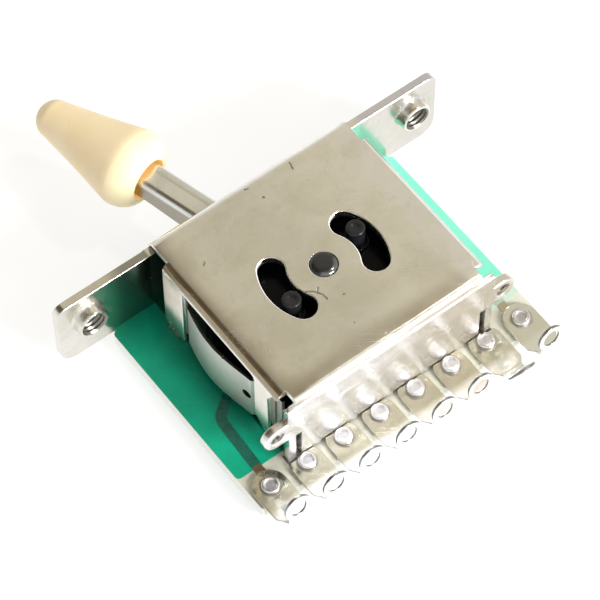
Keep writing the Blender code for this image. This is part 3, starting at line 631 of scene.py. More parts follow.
def mask_over_track():
    s = Surface("solder_mask_over_track")
    cloud = s.noise(2.0, 4.0, 0.6)
    color = s.mix(s.remap(cloud, 0.3, 0.7), (0.0025, 0.085, 0.058), (0.005, 0.125, 0.085))
    # painted light: lighter on the -X track
    color = s.mix(s.remap(s.part(0), -10.0 * MM, -12.0 * MM, 0.0, 0.8), color, (0.42, 0.55, 0.42))
    rough = s.remap(s.noise(1.0, 4.0, 0.6), 0.3, 0.7, 0.22, 0.36)
    s.set(Base_Color=color, Roughness=rough, Normal=s.bump(s.noise(0.4, 3.0), 0.006), IOR=1.58)
    return s.mat


def glass_fibre():
    """Bare board: pale resin over a fine woven cloth, dusty with flux near the lugs."""
    s = Surface("bare_glass_fibre")
    cloud = s.noise(4.0, 4.0, 0.6)
    color = s.mix(s.remap(cloud, 0.3, 0.7), (0.56, 0.56, 0.47), (0.69, 0.68, 0.58))
    wx = s.new("ShaderNodeTexWave", wave_type="BANDS", bands_direction="X")
    s.feed(s.here, wx.inputs["Vector"])
    wx.inputs["Scale"].default_value = 1.0 / (0.9 * MM) / 3.2
    wy = s.new("ShaderNodeTexWave", wave_type="BANDS", bands_direction="Y")
    s.feed(s.here, wy.inputs["Vector"])
    wy.inputs["Scale"].default_value = 1.0 / (0.9 * MM) / 3.2
    weave = s.math("MULTIPLY", wx.outputs["Fac"], wy.outputs["Fac"])
    color = s.mix(s.math("MULTIPLY", weave, 0.10), color, (0.38, 0.43, 0.33))
    flux_and_shade = s.math("MULTIPLY", s.remap(s.noise(1.8, 4.0, 0.65, 0.5), 0.55, 0.7), 0.35)
    color = s.mix(flux_and_shade, color, (0.34, 0.30, 0.19))
    up = s.math("ABSOLUTE", s.part(2, s.new("ShaderNodeNewGeometry").outputs["Normal"]))
    edge = s.math("MULTIPLY", s.remap(up, 0.6, 0.2, 0.0, 0.85), s.remap(s.math("ABSOLUTE", s.part(0)), 17.8 * MM, 18.0 * MM))
    color = s.mix(edge, color, (0.93, 0.93, 0.88))
    rough = s.remap(cloud, 0.3, 0.7, 0.34, 0.5)
    s.set(Base_Color=color, Roughness=rough, Normal=s.bump(weave, 0.006), IOR=1.55)
    return s.mat


def copper(name, light, dark, rough=0.32, lit_on_minus_x=False):
    s = Surface(name)
    blotch = s.noise(0.8, 4.0, 0.65)
    color = s.mix(s.remap(blotch, 0.35, 0.65), light, dark)
    roughness = s.remap(blotch, 0.3, 0.7, rough - 0.06, rough + 0.12)
    lines = s.scratches((0, 0, 12), 3.0, 0.06, 0.48)
    color = s.mix(s.math("MULTIPLY", lines, 0.3), color, tuple(min(1.3 * v, 1.0) for v in light))
    # painted light: lighter towards -X
    if lit_on_minus_x:
        color = s.mix(s.remap(s.part(0), -12.0 * MM, -14.0 * MM, 0.0, 0.75), color, (0.66, 0.62, 0.50))
    s.set(Base_Color=color, Roughness=roughness, Metallic=1.0, Normal=s.bump(s.noise(0.2, 3.0), 0.006, 1.0, s.rounded_edges(0.05)))
    return s.mat


COVER_MARKS = (
    ((9.35, 5.72), (9.62, 6.02)),
    ((3.4, 14.6), (2.75, 15.05)),
    ((2.75, 15.05), (2.25, 15.8)),
    ((2.25, 15.8), (2.2, 16.5)),
    ((2.55, 15.3), (2.1, 14.95)),
    ((0.62, 16.98), (0.52, 17.1)),
    ((0.92, 1.2), (0.62, 1.34)),
    ((0.06, 3.05), (-0.02, 3.16)),
    ((-4.62, 1.35), (-4.42, 2.2)),
)

M = {
    "cover": nickel("nickel_plated_sheet", (0.765, 0.75, 0.705), (0.69, 0.67, 0.60), 0.22, 0.035, 5.0, 0.8, COVER_MARKS, case=True),
    # the tapped bores are darker from painted shade and from thinner plating
    "thread": nickel("dark_tapped_bore", (0.34, 0.33, 0.30), (0.20, 0.19, 0.17), 0.30, 0.01, 1.0, 1.0, (), False, 0.0),
    # the lever's sides below its top get painted shade
    "lever": nickel("plated_lever_steel", (0.81, 0.815, 0.80), (0.71, 0.71, 0.68), 0.26, 0.02, 3.0, 1.0, shade_below=(6.55, 6.0, (0.36, 0.335, 0.27))),
    "leaf": nickel("spring_steel_leaf", (0.85, 0.80, 0.77), (0.73, 0.69, 0.66), 0.46, 0.01, 4.0, 0.5, (), False, 0.04),
    # the lugs get a painted highlight past the board's edge, painted light towards -X and painted shade round the
    # rivets
    "lug": nickel("tinned_lug_metal", (0.68, 0.665, 0.565), (0.585, 0.565, 0.465), 0.11, 0.03, 1.8, 0.5, (), True, 0.05, 0.002, highlight_beyond=(27.4, 28.4, (0.95, 0.955, 0.955)), ringed=True),
    "cut_edge": nickel("dark_cut_edge", (0.34, 0.34, 0.33), (0.22, 0.22, 0.21), 0.3, 0.01, 0.8, 0.8, (), False, 0.0),
    # the leaf's top rim and the wall of its hole are painted dark as shade
    "sheared_edge": nickel("dark_leaf_rim_and_hole", (0.11, 0.11, 0.105), (0.05, 0.05, 0.048), 0.36, 0.01, 0.8, 0.8, (), False, 0.0),
    "rivet": nickel("rivet_metal", (0.88, 0.87, 0.88), (0.74, 0.73, 0.76), 0.24, 0.012, 0.8, 0.8, (), False, 0.03, 0.003),
    "rivet_dish": nickel("rivet_dish_metal", (0.66, 0.65, 0.68), (0.50, 0.49, 0.53), 0.38, 0.02, 0.5, 0.8, (), False, 0.0, 0.004),
    "black": black_moulding(),
    "cream": cream_plastic(),
    "mask": solder_mask(),
    "track": mask_over_track(),
    "fibre": glass_fibre(),
    "bare_copper": copper("bare_track_copper", (0.50, 0.35, 0.24), (0.33, 0.24, 0.16), lit_on_minus_x=True),
    "bronze": copper("contact_bronze_strip", (0.75, 0.52, 0.28), (0.55, 0.36, 0.18), 0.25),
}

# ---------------------------------------------------------------- the case


def bm_of(obj):
    """Takes a solved object back as a mesh in millimetres, and removes the object."""
    bm = bmesh.new()
    bm.from_mesh(obj.data)
    bmesh.ops.scale(bm, vec=(1 / MM,) * 3, verts=bm.verts)
    bpy.data.objects.remove(obj, do_unlink=True)
    return bm


def cover_block(half, y0, y1, z0, z1, front_r, side_r, rear_r, fine):
    """The folded cover's outside or inside: a block rounded at the front, sides and rear."""
    side = [(half, z0)]
    side += arc(half - side_r, z1 - side_r, side_r, 0, 90, fine)
    side += arc(-half + side_r, z1 - side_r, side_r, 90, 180, fine)
    side += [(-half, z0)]
    length = [(y0, z0 - 1), (y1, z0 - 1)]
    length += arc(y1 - rear_r, z1 - rear_r, rear_r, 0, 90, fine)
    length += arc(y0 + front_r, z1 - front_r, front_r, 90, 180, fine + 4)
    return prism(side, y0 - 0.5, y1 + 0.5, "Y"), prism(length, -half - 1, half + 1, "X")


def kidney(side):
    half = SLOT_WIDTH / 2
    a = SLOT_HALF_ANGLE
    points = arc(0, 0, SLOT_R + half, -a, a, 30)
    tip = math.radians(a)
    points += arc(SLOT_R * math.cos(tip), SLOT_R * math.sin(tip), half, a, a + 180, 16)[1:-1]
    points += arc(0, 0, SLOT_R - half, a, -a, 20)
    points += arc(SLOT_R * math.cos(tip), -SLOT_R * math.sin(tip), half, 180 - a, 360 - a, 16)[1:-1]
    return [(side * x, PIVOT_Y + y) for x, y in points][:: side]


def plate_outline():
    right = arc(PLATE_HALF - 1.9, PLATE_BOTTOM + 1.9, 1.9, -90, 0, 12)
    right += arc(PLATE_HALF - 1.1, PLATE_TOP - 1.1, 1.1, 0, 90, 8)
    left = arc(-PLATE_HALF + 1.1, PLATE_TOP - 1.1, 1.1, 90, 180, 8)
    left += arc(-PLATE_HALF + 1.9, PLATE_BOTTOM + 1.9, 1.9, 180, 270, 12)
    return right + left


def rear_bottom_edge(y0, y1):
    x_end = LEG_X0 - SLIT
    low = REAR_BOTTOM + 0.1
    points = [(-x_end, -5.0), (x_end, -5.0), (x_end, low)]
    for k in range(2, -3, -1):
        x = k * LUG_PITCH
        points += [(x + 0.36, low), (x + 0.24, REAR_TOOTH)]
        points += [(x - 0.24, REAR_TOOTH), (x - 0.36, low)]
    points.append((-x_end, low))
    return prism(points, y0, y1, "Y")


def collar(side):
    """Drawn collar with a fillet at its root and a ragged, hand-cut rim."""
    t = SHEET
    steps = 64
    rings = []
    for grow, level, rag in (
        (-0.2, t - 0.4, 0),
        (0.22, t - 0.02, 0),
        (0.16, t + 0.06, 0),
        (0.07, t + 0.16, 0),
        (0.0, t + 0.34, 0.2),
        (-0.02, t + 0.9, 0.4),
        (-0.04, t + COLLAR_LEN - 0.2, 0.8),
        (-0.1, t + COLLAR_LEN - 0.08, 1),
        (-0.22, t + COLLAR_LEN - 0.03, 1),
    ):
        ring = []
        for i in range(steps):
            a = math.tau * i / steps
            n = mn.noise(Vector((math.cos(a) * 1.7 + side * 5, math.sin(a) * 1.7, level * 0.8)))
            m = mn.noise(Vector((math.cos(a) * 4.1, math.sin(a) * 4.1 + side * 9, 2.2)))
            r = COLLAR_R - 0.03 + grow + 0.05 * rag * n
            ring.append((side * SCREW_X + r * math.cos(a), level - rag * 0.09 * abs(m), SCREW_Z + r * math.sin(a)))
        rings.append(ring)
    return skin(rings)


def thread_cutter(side):
    """Tapped bore: a helical groove of 0.5 mm pitch between the minor and major radius."""
    around, per_turn, pitch = 40, 8, 0.5
    low, high = -0.35, SHEET + COLLAR_LEN + 0.35
    count = int((high - low) / (pitch / per_turn))
    rings = []
    for k in range(count + 1):
        y = low + (high - low) * k / count
        ring = []
        for i in range(around):
            u = (y / pitch + i / around) % 1.0
            r = SCREW_HOLE_R + 0.22 * (1 - abs(2 * u - 1)) ** 0.8
            mouth = max(0.0, 0.16 - y, y - (SHEET + COLLAR_LEN - 0.14))
            r = max(r, SCREW_HOLE_R + 0.14 + min(mouth, 0.14)) if mouth > 0 else r
            a = math.tau * i / around
            ring.append((side * SCREW_X + r * math.cos(a), y, SCREW_Z + r * math.sin(a)))
        rings.append(ring)
    return skin(rings)


def housing_piece():
    t = SHEET
    across, along = cover_block(
        COVER_HALF, 0, REAR_FACE, -0.2, COVER_TOP, FRONT_BEND_R, SIDE_BEND_R, REAR_BEND_R, 12
    )
    inner_across, inner_along = cover_block(
        COVER_HALF - t, t, REAR_FACE - t, -5, COVER_TOP - t, FRONT_BEND_R - t, 0.25, 0.25, 5
    )
    hollow = bm_of(solved("hollow", inner_across, [("keep", inner_along)]))
    steps = [("keep", along), ("cut", hollow), ("join", soft_prism(plate_outline(), 0, t, 0.13, "Y", 4))]
    for side in (1, -1):
        low, high = sorted((side * (COVER_HALF - t), side * COVER_HALF))

        def span(a, b):
            return sorted((side * a, side * b))

        steps += [
            ("cut", box(*span(COVER_FLAT_HALF, COVER_HALF + 1), t, FRONT_PILLAR[0], -5, COVER_TOP + 1)),
            ("cut", box(*span(COVER_HALF - t - 0.6, COVER_HALF + 1), t, FRONT_PILLAR[0], -5, COVER_TOP - t)),
            ("cut", box(*span(COVER_FLAT_HALF, COVER_HALF + 1), -1, t + 1, PLATE_TOP, COVER_TOP + 1)),
        ]
        window = [
            (FRONT_PILLAR[1], -5),
            (REAR_PILLAR[0] + 1.5, -5),
            (REAR_PILLAR[0] + 1.5, 1.1),
            (REAR_PILLAR[0], 2.6),
            (REAR_PILLAR[0], WALL_TOP_BAND - 0.5),
            (REAR_PILLAR[0] - 0.15, WALL_TOP_BAND - 0.15),
            (REAR_PILLAR[0] - 0.5, WALL_TOP_BAND),
            (FRONT_PILLAR[1] + 0.5, WALL_TOP_BAND),
            (FRONT_PILLAR[1] + 0.15, WALL_TOP_BAND - 0.15),
            (FRONT_PILLAR[1], WALL_TOP_BAND - 0.5),
        ]
        steps.append(("cut", hole_cutter(window, low, high, 0.12, "X", 3)))
        corner = [
            (REAR_PILLAR[1], -5),
            (REAR_FACE - t, -5),
            (REAR_FACE - t, WALL_TOP_BAND + 0.4),
            (REAR_PILLAR[1] + 0.9, WALL_TOP_BAND + 0.4),
            (REAR_PILLAR[1], WALL_TOP_BAND - 1.2),
        ]
        x0, x1 = span(COVER_HALF - t - 1.0, COVER_HALF + 1)
        steps.append(("cut", prism(corner, x0, x1, "X")))
        steps.append(("cut", box(*span(COVER_FLAT_HALF - 0.5, COVER_HALF + 1), REAR_FACE - t - 0.9, REAR_FACE - 0.45, 9.2, COVER_TOP + 1)))
        for y0, y1, top in (
            (FRONT_PILLAR[0] - 0.5, 4.3, PILLAR_BOTTOM),
            (5.9, 7.2, PILLAR_BOTTOM),
            (REAR_PILLAR[0], REAR_PILLAR[1] + 0.5, 1.1),
        ):
            steps.append(("cut", box(x0, x1, y0, y1, -5, top)))
        tab = [(4.3, 1.0), (4.3, TAB_BOTTOM + 0.3), (4.55, TAB_BOTTOM), (5.65, TAB_BOTTOM), (5.9, TAB_BOTTOM + 0.3), (5.9, 1.0)]
        steps.append(("join", prism(tab, low, high, "X")))
        ear = [(side * (COVER_HALF - 1.5), EAR_Z - EAR_HALF)]
        ear += [(side * x, z) for x, z in arc(EAR_END - EAR_HALF, EAR_Z, EAR_HALF, -90, 90, 24)]
        ear += [(side * (COVER_HALF - 1.5), EAR_Z + EAR_HALF)]
        hole = circle(side * EAR_HOLE_X, EAR_Z, EAR_HOLE_R, 32)
        steps += [
            ("join", soft_prism(ear[::side], REAR_FACE - t, REAR_FACE, 0.18, "Y", 4)),
            ("cut", hole_cutter(hole, REAR_FACE - t, REAR_FACE, 0.14, "Y", 4)),
            ("cut", box(*span(LEG_X1, LEG_X1 + 0.6), REAR_FACE - t - 0.5, REAR_FACE + 0.5, -5, EAR_Z - EAR_HALF)),
            ("cut", box(*span(LEG_X0 - SLIT, LEG_X0), REAR_FACE - t - 0.5, REAR_FACE + 0.5, -5, LEG_TOP)),
            ("join", box(*span(LEG_X0, LEG_X1), REAR_FACE - t, REAR_FACE, TAB_BOTTOM, LEG_TOP + 0.5)),
            ("join", collar(side)),
            ("cut", thread_cutter(side)),
            ("cut", hole_cutter(kidney(side), COVER_TOP - t, COVER_TOP, 0.13, "Z", 4)),
        ]
    steps.append(("cut", rear_bottom_edge(REAR_FACE - t - 0.5, REAR_FACE + 0.5)))
    bore = circle(0, PIVOT_Y, JOURNAL_R + BORE_PLAY, 64)
    steps.append(("cut", hole_cutter(bore, COVER_TOP - t, COVER_TOP, 0.09, "Z", 3)))
    r = 0.6
    slot = []
    for cx, cz, a in (
        (LEVER_SLOT_HALF - r, LEVER_SLOT_Z0 + r, -90),
        (LEVER_SLOT_HALF - r, LEVER_SLOT_Z1 - r, 0),
        (-LEVER_SLOT_HALF + r, LEVER_SLOT_Z1 - r, 90),
        (-LEVER_SLOT_HALF + r, LEVER_SLOT_Z0 + r, 180),
    ):
        slot += arc(cx, cz, r, a, a + 90, 8)
    steps.append(("cut", hole_cutter(slot, 0, t, 0.12, "Y", 3)))
    obj = solved("housing_shell", across, steps)

    def in_thread(p, normal):
        return math.hypot(abs(p.x) - SCREW_X, p.z - SCREW_Z) < SCREW_HOLE_R + 0.27 and -0.01 < p.y < SHEET + COLLAR_LEN + 0.01

    return finished(obj, M["cover"], "case", ["housing"], other=M["thread"], where=in_thread)


def slab_outline(half, y0, y1, r, steps=6):
    points = []
    for cx, cy, a in (
        (half - r, y0 + r, -90),
        (half - r, y1 - r, 0),
        (-half + r, y1 - r, 90),
        (-half + r, y0 + r, 180),
    ):
        points += arc(cx, cy, r, a, a + 90, steps)
    return points


MASK_T = 0.035
MASK_EDGE = 22.8


def board_openings(low, high, rivets):
    """Cutters for the tab and leg slots, the journal's bore and the rivets."""
    play = 0.15
    tools = []
    for side in (1, -1):
        tools.append(("cut", box(*sorted((side * (COVER_HALF - SHEET - play), side * (COVER_HALF + play))), 4.3 - play, 5.9 + play, low, high)))
        tools.append(("cut", box(*sorted((side * (LEG_X0 - play), side * (LEG_X1 + play))), REAR_FACE - SHEET - play, REAR_FACE + play, low, high)))
    tools.append(("cut", cylinder(0, PIVOT_Y, LOWER_JOURNAL_R + BORE_PLAY, low, high, 64)))
    for i in range(LUG_COUNT):
        tools.append(("cut", cylinder(lug_x(i), RIVET_Y, rivets, low, high, 32)))
    return tools


def ribbon(path, width, z0, z1, edge=0.008):
    """A flat strip of even width along a path in (x, y)."""
    left, right = [], []
    for i, (x, y) in enumerate(path):
        ax, ay = path[max(i - 1, 0)]
        bx, by = path[min(i + 1, len(path) - 1)]
        d = Vector((bx - ax, by - ay)).normalized()
        left.append((x - d.y * width / 2, y + d.x * width / 2))
        right.append((x + d.y * width / 2, y - d.x * width / 2))
    outline = right + left[::-1]
    area = sum(outline[i - 1][0] * outline[i][1] - outline[i][0] * outline[i - 1][1] for i in range(len(outline)))
    if area < 0:
        outline.reverse()
    return soft_prism(outline, z0, z1, edge, "Z", 2)


def smooth_path(path, r, steps=6):
    """A path whose inner corners are rounded."""
    out = [path[0]]
    for a, b, c in zip(path, path[1:], path[2:]):
        a, b, c = Vector(a), Vector(b), Vector(c)
        u = b + (a - b).normalized() * min(r, (a - b).length / 2)
        v = b + (c - b).normalized() * min(r, (c - b).length / 2)
        for i in range(steps + 1):
            f = i / steps
            p = u * (1 - f) ** 2 + b * 2 * f * (1 - f) + v * f ** 2
            out.append((p.x, p.y))
    out.append(path[-1])
    return out


def board_pieces():
    outline = slab_outline(BOARD_HALF, BOARD_Y0, BOARD_Y1, 0.5)
    core = solved(
        "board_core",
        soft_prism(outline, -BOARD_T + MASK_T, -MASK_T, 0.05, "Z", 2),
        board_openings(-3, 1, RIVET_SHANK_R + 0.1),
    )
    finished(core, M["fibre"], "case", ["circuit_board"])
    top = solved(
        "solder_mask_top",
        soft_prism(slab_outline(BOARD_HALF - 0.03, BOARD_Y0 + 0.03, MASK_EDGE, 0.5), -MASK_T + 0.001, -0.002, 0.012, "Z", 2),
        board_openings(-1, 1, 0.5),
    )
    finished(top, M["mask"], "case")
    under = solved(
        "solder_mask_under",
        soft_prism(slab_outline(BOARD_HALF - 0.03, BOARD_Y0 + 0.03, BOARD_Y1 - 0.03, 0.5), -BOARD_T, -BOARD_T + MASK_T - 0.001, 0.012, "Z", 2),
        board_openings(-3, 1, 1.45),
    )
    finished(under, M["mask"], "case")
    lip = solved(
        "solder_mask_front_edge",
        box(-BOARD_HALF + 0.5, BOARD_HALF - 0.5, SHEET + 0.01, BOARD_Y0 + 0.05, -BOARD_T + 0.5, -0.004),
        [],
    )
    finished(lip, M["mask"], "case")
    for side, name in ((1, "right"), (-1, "left")):
        path = smooth_path([(13.0, 14.3), (15.35, 16.0), (15.45, 17.9), (15.66, MASK_EDGE - 0.25)], 0.8)
        track = object_of("track_%s" % name, ribbon([(side * x, y) for x, y in path], 1.15, -0.012, 0.022))
        finished(track, M["track"], "case")
    for i in range(LUG_COUNT):
        x = lug_x(i) - (0.35 if i == 0 else -0.35 if i == LUG_COUNT - 1 else 0)
        tail = object_of("bare_track_%d" % (i + 1), ribbon([(x, MASK_EDGE - 0.3), (x, MASK_EDGE + 0.9)], 1.05, -0.034, 0.012))
        finished(tail, M["bare_copper"], "case")


def lug_x(i):
    return (3.5 - i) * LUG_PITCH


def leaf_path():
    flange_x = COVER_HALF - SHEET - 0.12 - LEAF_T / 2
    front_leg = FRONT_PILLAR[1] - PIVOT_Y + 0.2 + LEAF_T / 2
    rear_leg = REAR_PILLAR[0] - PIVOT_Y - 0.2 - LEAF_T / 2
    r = 0.62
    end_x = 12.85 - LEAF_T / 2
    peak_x = 13.6 - LEAF_T / 2
    points = [(flange_x, FRONT_PILLAR[0] - PIVOT_Y + 1.0)]
    points += arc(flange_x + r, front_leg - r, r, 180, 90, 10)
    points += [(end_x - 0.45, front_leg)]
    steps = 48
    y0, y1 = front_leg + 0.45, rear_leg - 0.45
    for i in range(steps + 1):
        y = y0 + (y1 - y0) * i / steps
        f = (y - y0) / (y1 - y0)
        bow = math.sin(math.pi * f ** 0.9) ** 1.15
        points.append((end_x + (peak_x - end_x) * bow, y))
    points += [(end_x - 0.45, rear_leg)]
    points += arc(flange_x + r, rear_leg + r, r, 270, 180, 10)
    points += [(flange_x, REAR_PILLAR[1] - PIVOT_Y + 0.9)]
    return points


def thicken(path, thickness):
    left, right = [], []
    for i, (x, y) in enumerate(path):
        ax, ay = path[max(i - 1, 0)]
        bx, by = path[min(i + 1, len(path) - 1)]
        length = math.hypot(bx - ax, by - ay)
        nx, ny = (by - ay) / length, -(bx - ax) / length
        left.append((x + nx * thickness / 2, y + ny * thickness / 2))
        right.append((x - nx * thickness / 2, y - ny * thickness / 2))
    return left + right[::-1]


def leaf_piece(name, side):
    outline = [(side * x, PIVOT_Y + y) for x, y in thicken(leaf_path(), LEAF_T)]
    dy, z, r = LEAF_HOLE
    hole = cylinder(PIVOT_Y + dy, z, r, *sorted((side * 11.9, side * 14.5)), 32, "X")
    nick = box(*sorted((side * 13.0, side * 14.2)), PIVOT_Y + 0.9, PIVOT_Y + 1.15, LEAF_Z1 - 0.12, LEAF_Z1 + 1)
    obj = solved(name, soft_prism(outline[::side], LEAF_Z0, LEAF_Z1, 0.06, "Z", 3), [("cut", hole), ("cut", nick)])

    # the top rim and the hole's wall get painted shade
    def sheared(p, normal):
        on_rim = normal.z > 0.5 and p.z > LEAF_Z1 - 0.13
        in_hole = math.hypot(p.y - PIVOT_Y - dy, p.z - z) < r + 0.02 and abs(normal.x) < 0.5
        return on_rim or in_hole

    replaced = "detent_spring_right" if side > 0 else "detent_spring_left"
    return finished(obj, M["leaf"], "case", [replaced], other=M["sheared_edge"], where=sheared)


def lug_piece(i):
    """Lug cut along its length: round nose, flat tail, bend and ring eye, with rolled edges."""
    x0 = lug_x(i)
    z_mid = LUG_Z + LUG_T / 2
    stations = []
    steps = 12
    for k in range(steps + 1):
        a = math.pi / 2 * k / steps
        half = max(LUG_NOSE_R * math.sin(a), 0.28)
        stations.append((RIVET_Y - LUG_NOSE_R * math.cos(a), z_mid, 0.0, half))
    for y in (26.4, 27.3):
        stations.append((y, z_mid, 0.0, LUG_HALF))
    end = LUG_BEND_Y
    for k in range(1, 9):
        f = k / 8
        y = 27.3 + (end - 27.3) * f
        slope = math.radians(7.0) * min(1.0, f * 1.3)
        z = stations[-1][1] + math.tan(slope) * (end - 27.3) / 8
        g = max(0.0, (y - (end - 0.95)) / 0.95)
        half = LUG_HALF - (LUG_HALF - NECK_HALF - 0.06) * (g * g * (3 - 2 * g))
        stations.append((y, z, slope, half))
    y, z, angle, _ = stations[-1]
    start = angle
    bends = 14
    turn = math.radians(LUG_BEND_UP[i])
    for k in range(bends):
        step = (turn - start) / bends
        angle += step
        y += LUG_BEND_R * step * math.cos(angle - step / 2)
        z += LUG_BEND_R * step * math.sin(angle - step / 2)
        f = (k + 1) / bends
        stations.append((y, z, angle, NECK_HALF + 0.06 * (1 - f)))
    # The eye stays where the solid's eye is
    cy, cz, ca = LUG_BEND_Y, z_mid, 0.0
    for k in range(5):
        step = turn / 5
        ca += step
        cy += LUG_BEND_R * step * math.cos(ca - step / 2)
        cz += LUG_BEND_R * step * math.sin(ca - step / 2)
    end_y, end_z = cy + RING_ARM * math.cos(ca), cz + RING_ARM * math.sin(ca)
    first = math.degrees(math.asin(NECK_HALF / RING_R))
    steps = 26
    for k in range(steps + 1):
        a = math.radians(first + (180 - 7 - first) * k / steps)
        s = -(RING_R - 0.026) * math.cos(a)
        stations.append((end_y + s * math.cos(angle), end_z + s * math.sin(angle), angle, (RING_R - 0.026) * math.sin(a)))
    rings = []
    roll = 0.11
    for sy, sz, slope, half in stations:
        ny, nz = -math.sin(slope), math.cos(slope)
        flat = max(half - roll, 0.05)
        across = []
        for sx, face in ((-1, -1), (1, -1), (1, 1), (-1, 1)):
            for q in range(4):
                f = q / 3 if sx * face > 0 else 1 - q / 3
                t = math.pi / 2 * f
                if face < 0:
                    u, v = math.cos(math.pi / 2 * (q / 3 if sx < 0 else 1 - q / 3)), math.sin(math.pi / 2 * (q / 3 if sx < 0 else 1 - q / 3))
                else:
                    u, v = math.cos(math.pi / 2 * (q / 3 if sx > 0 else 1 - q / 3)), math.sin(math.pi / 2 * (q / 3 if sx > 0 else 1 - q / 3))
                across.append((sx * (flat + roll * u), face * (LUG_T / 2 - roll + roll * v)))
        rings.append([(x0 + dx, sy + ny * dn, sz + nz * dn) for dx, dn in across])
    hole = cylinder(x0, RIVET_Y, RIVET_SHANK_R + 0.1, -1, 1, 32)
    steps = [("cut", hole)]
    if i in (1, LUG_COUNT - 2):
        side = 1 if x0 > 0 else -1
        span = sorted((side * (LEG_X0 - 0.3), side * (LEG_X1 + 0.3)))
        steps.append(("cut", box(*span, REAR_FACE - 2, REAR_FACE + 0.3, -1, 1)))
    eye = hole_cutter(circle(0, 0, RING_HOLE_R - 0.02, 40), -LUG_T / 2, LUG_T / 2, 0.13, "Z", 4)
    bmesh.ops.rotate(eye, verts=eye.verts, cent=(0, 0, 0), matrix=Matrix.Rotation(angle, 3, "X"))
    bmesh.ops.translate(eye, verts=eye.verts, vec=Vector((x0, end_y, end_z)))
    steps.append(("cut", eye))
    obj = solved("lug_blade_%d" % (i + 1), skin(rings), steps)
    blade = Vector((0, -math.sin(angle), math.cos(angle)))

    def on_edge(p, normal):
        return p.z > 1.35 and abs(normal.dot(blade)) < 0.55

    return finished(obj, M["lug"], "case", ["lug_%d" % (i + 1)], 40.0, other=M["cut_edge"], where=on_edge)


def rivet_piece(i):
    """Clenched rivet: rolled rim, dished centre with a small pip, and a round tail below."""
    top = RIVET_TOP
    seat = LUG_Z + LUG_T + 0.01
    tail = -BOARD_T - 0.01
    profile = [(0, TAB_BOTTOM), (0.9, TAB_BOTTOM)]
    profile += [(r, z) for r, z in arc(0.9, TAB_BOTTOM + 0.25, 0.25, -75, 40, 6)]
    profile += [(1.0, tail), (RIVET_SHANK_R, tail - 0.0), (RIVET_SHANK_R, seat), (RIVET_HEAD_R - 0.05, seat)]
    roll = 0.2
    profile += [(r, z) for r, z in arc(RIVET_HEAD_R - roll, top - roll, roll, -35, 118, 12)]
    profile += [(0.62, top - 0.07), (0.55, top - 0.115), (0.48, top - 0.13), (0.3, top - 0.135), (0.14, top - 0.125), (0, top - 0.12)]
    bm = lathe(profile, 40)
    for v in bm.verts:
        p = Vector((v.co.x * 1.6 + i * 7.3, v.co.y * 1.6, v.co.z))
        if v.co.z > seat + 0.02:
            n = mn.noise(p)
            v.co.z = min(v.co.z + 0.012 * n, top)
            k = 1 + 0.012 * mn.noise(p + Vector((3, 9, 1)))
            v.co.x *= k
            v.co.y *= k
    bmesh.ops.translate(bm, verts=bm.verts, vec=Vector((lug_x(i), RIVET_Y, 0)))
    obj = object_of("rivet_head_%d" % (i + 1), bm)

    def in_dish(p, normal):
        return math.hypot(p.x - lug_x(i), p.y - RIVET_Y) < 0.6 and p.z > seat

    return finished(obj, M["rivet"], "case", ["rivet_%d" % (i + 1)], 50.0, False, M["rivet_dish"], in_dish)


# ---------------------------------------------------------------- the selector


def rotor_outline():
    def lobe(sign):
        apothem = LOBE_R * math.cos(math.radians(8))
        angles = [LOBE_ENDS[0], *LOBE_FACETS, LOBE_ENDS[1]]
        points = []
        for a in angles:
            middle = round(a / 16) * 16 if a in LOBE_ENDS else a + 8
            r = apothem / math.cos(math.radians(a - middle))
            points.append((sign * r * math.cos(math.radians(a)), r * math.sin(math.radians(a))))
        return points

    right = lobe(1)
    left = list(reversed(lobe(-1)))
    rear = arc(0, 0, ROTOR_HUB_R, LOBE_ENDS[1] + 6, 180 - LOBE_ENDS[1] - 6, 40)
    front = arc(0, 0, ROTOR_HUB_R, 180 - LOBE_ENDS[0] + 6, 360 + LOBE_ENDS[0] - 6, 32)
    return right + rear + left + front


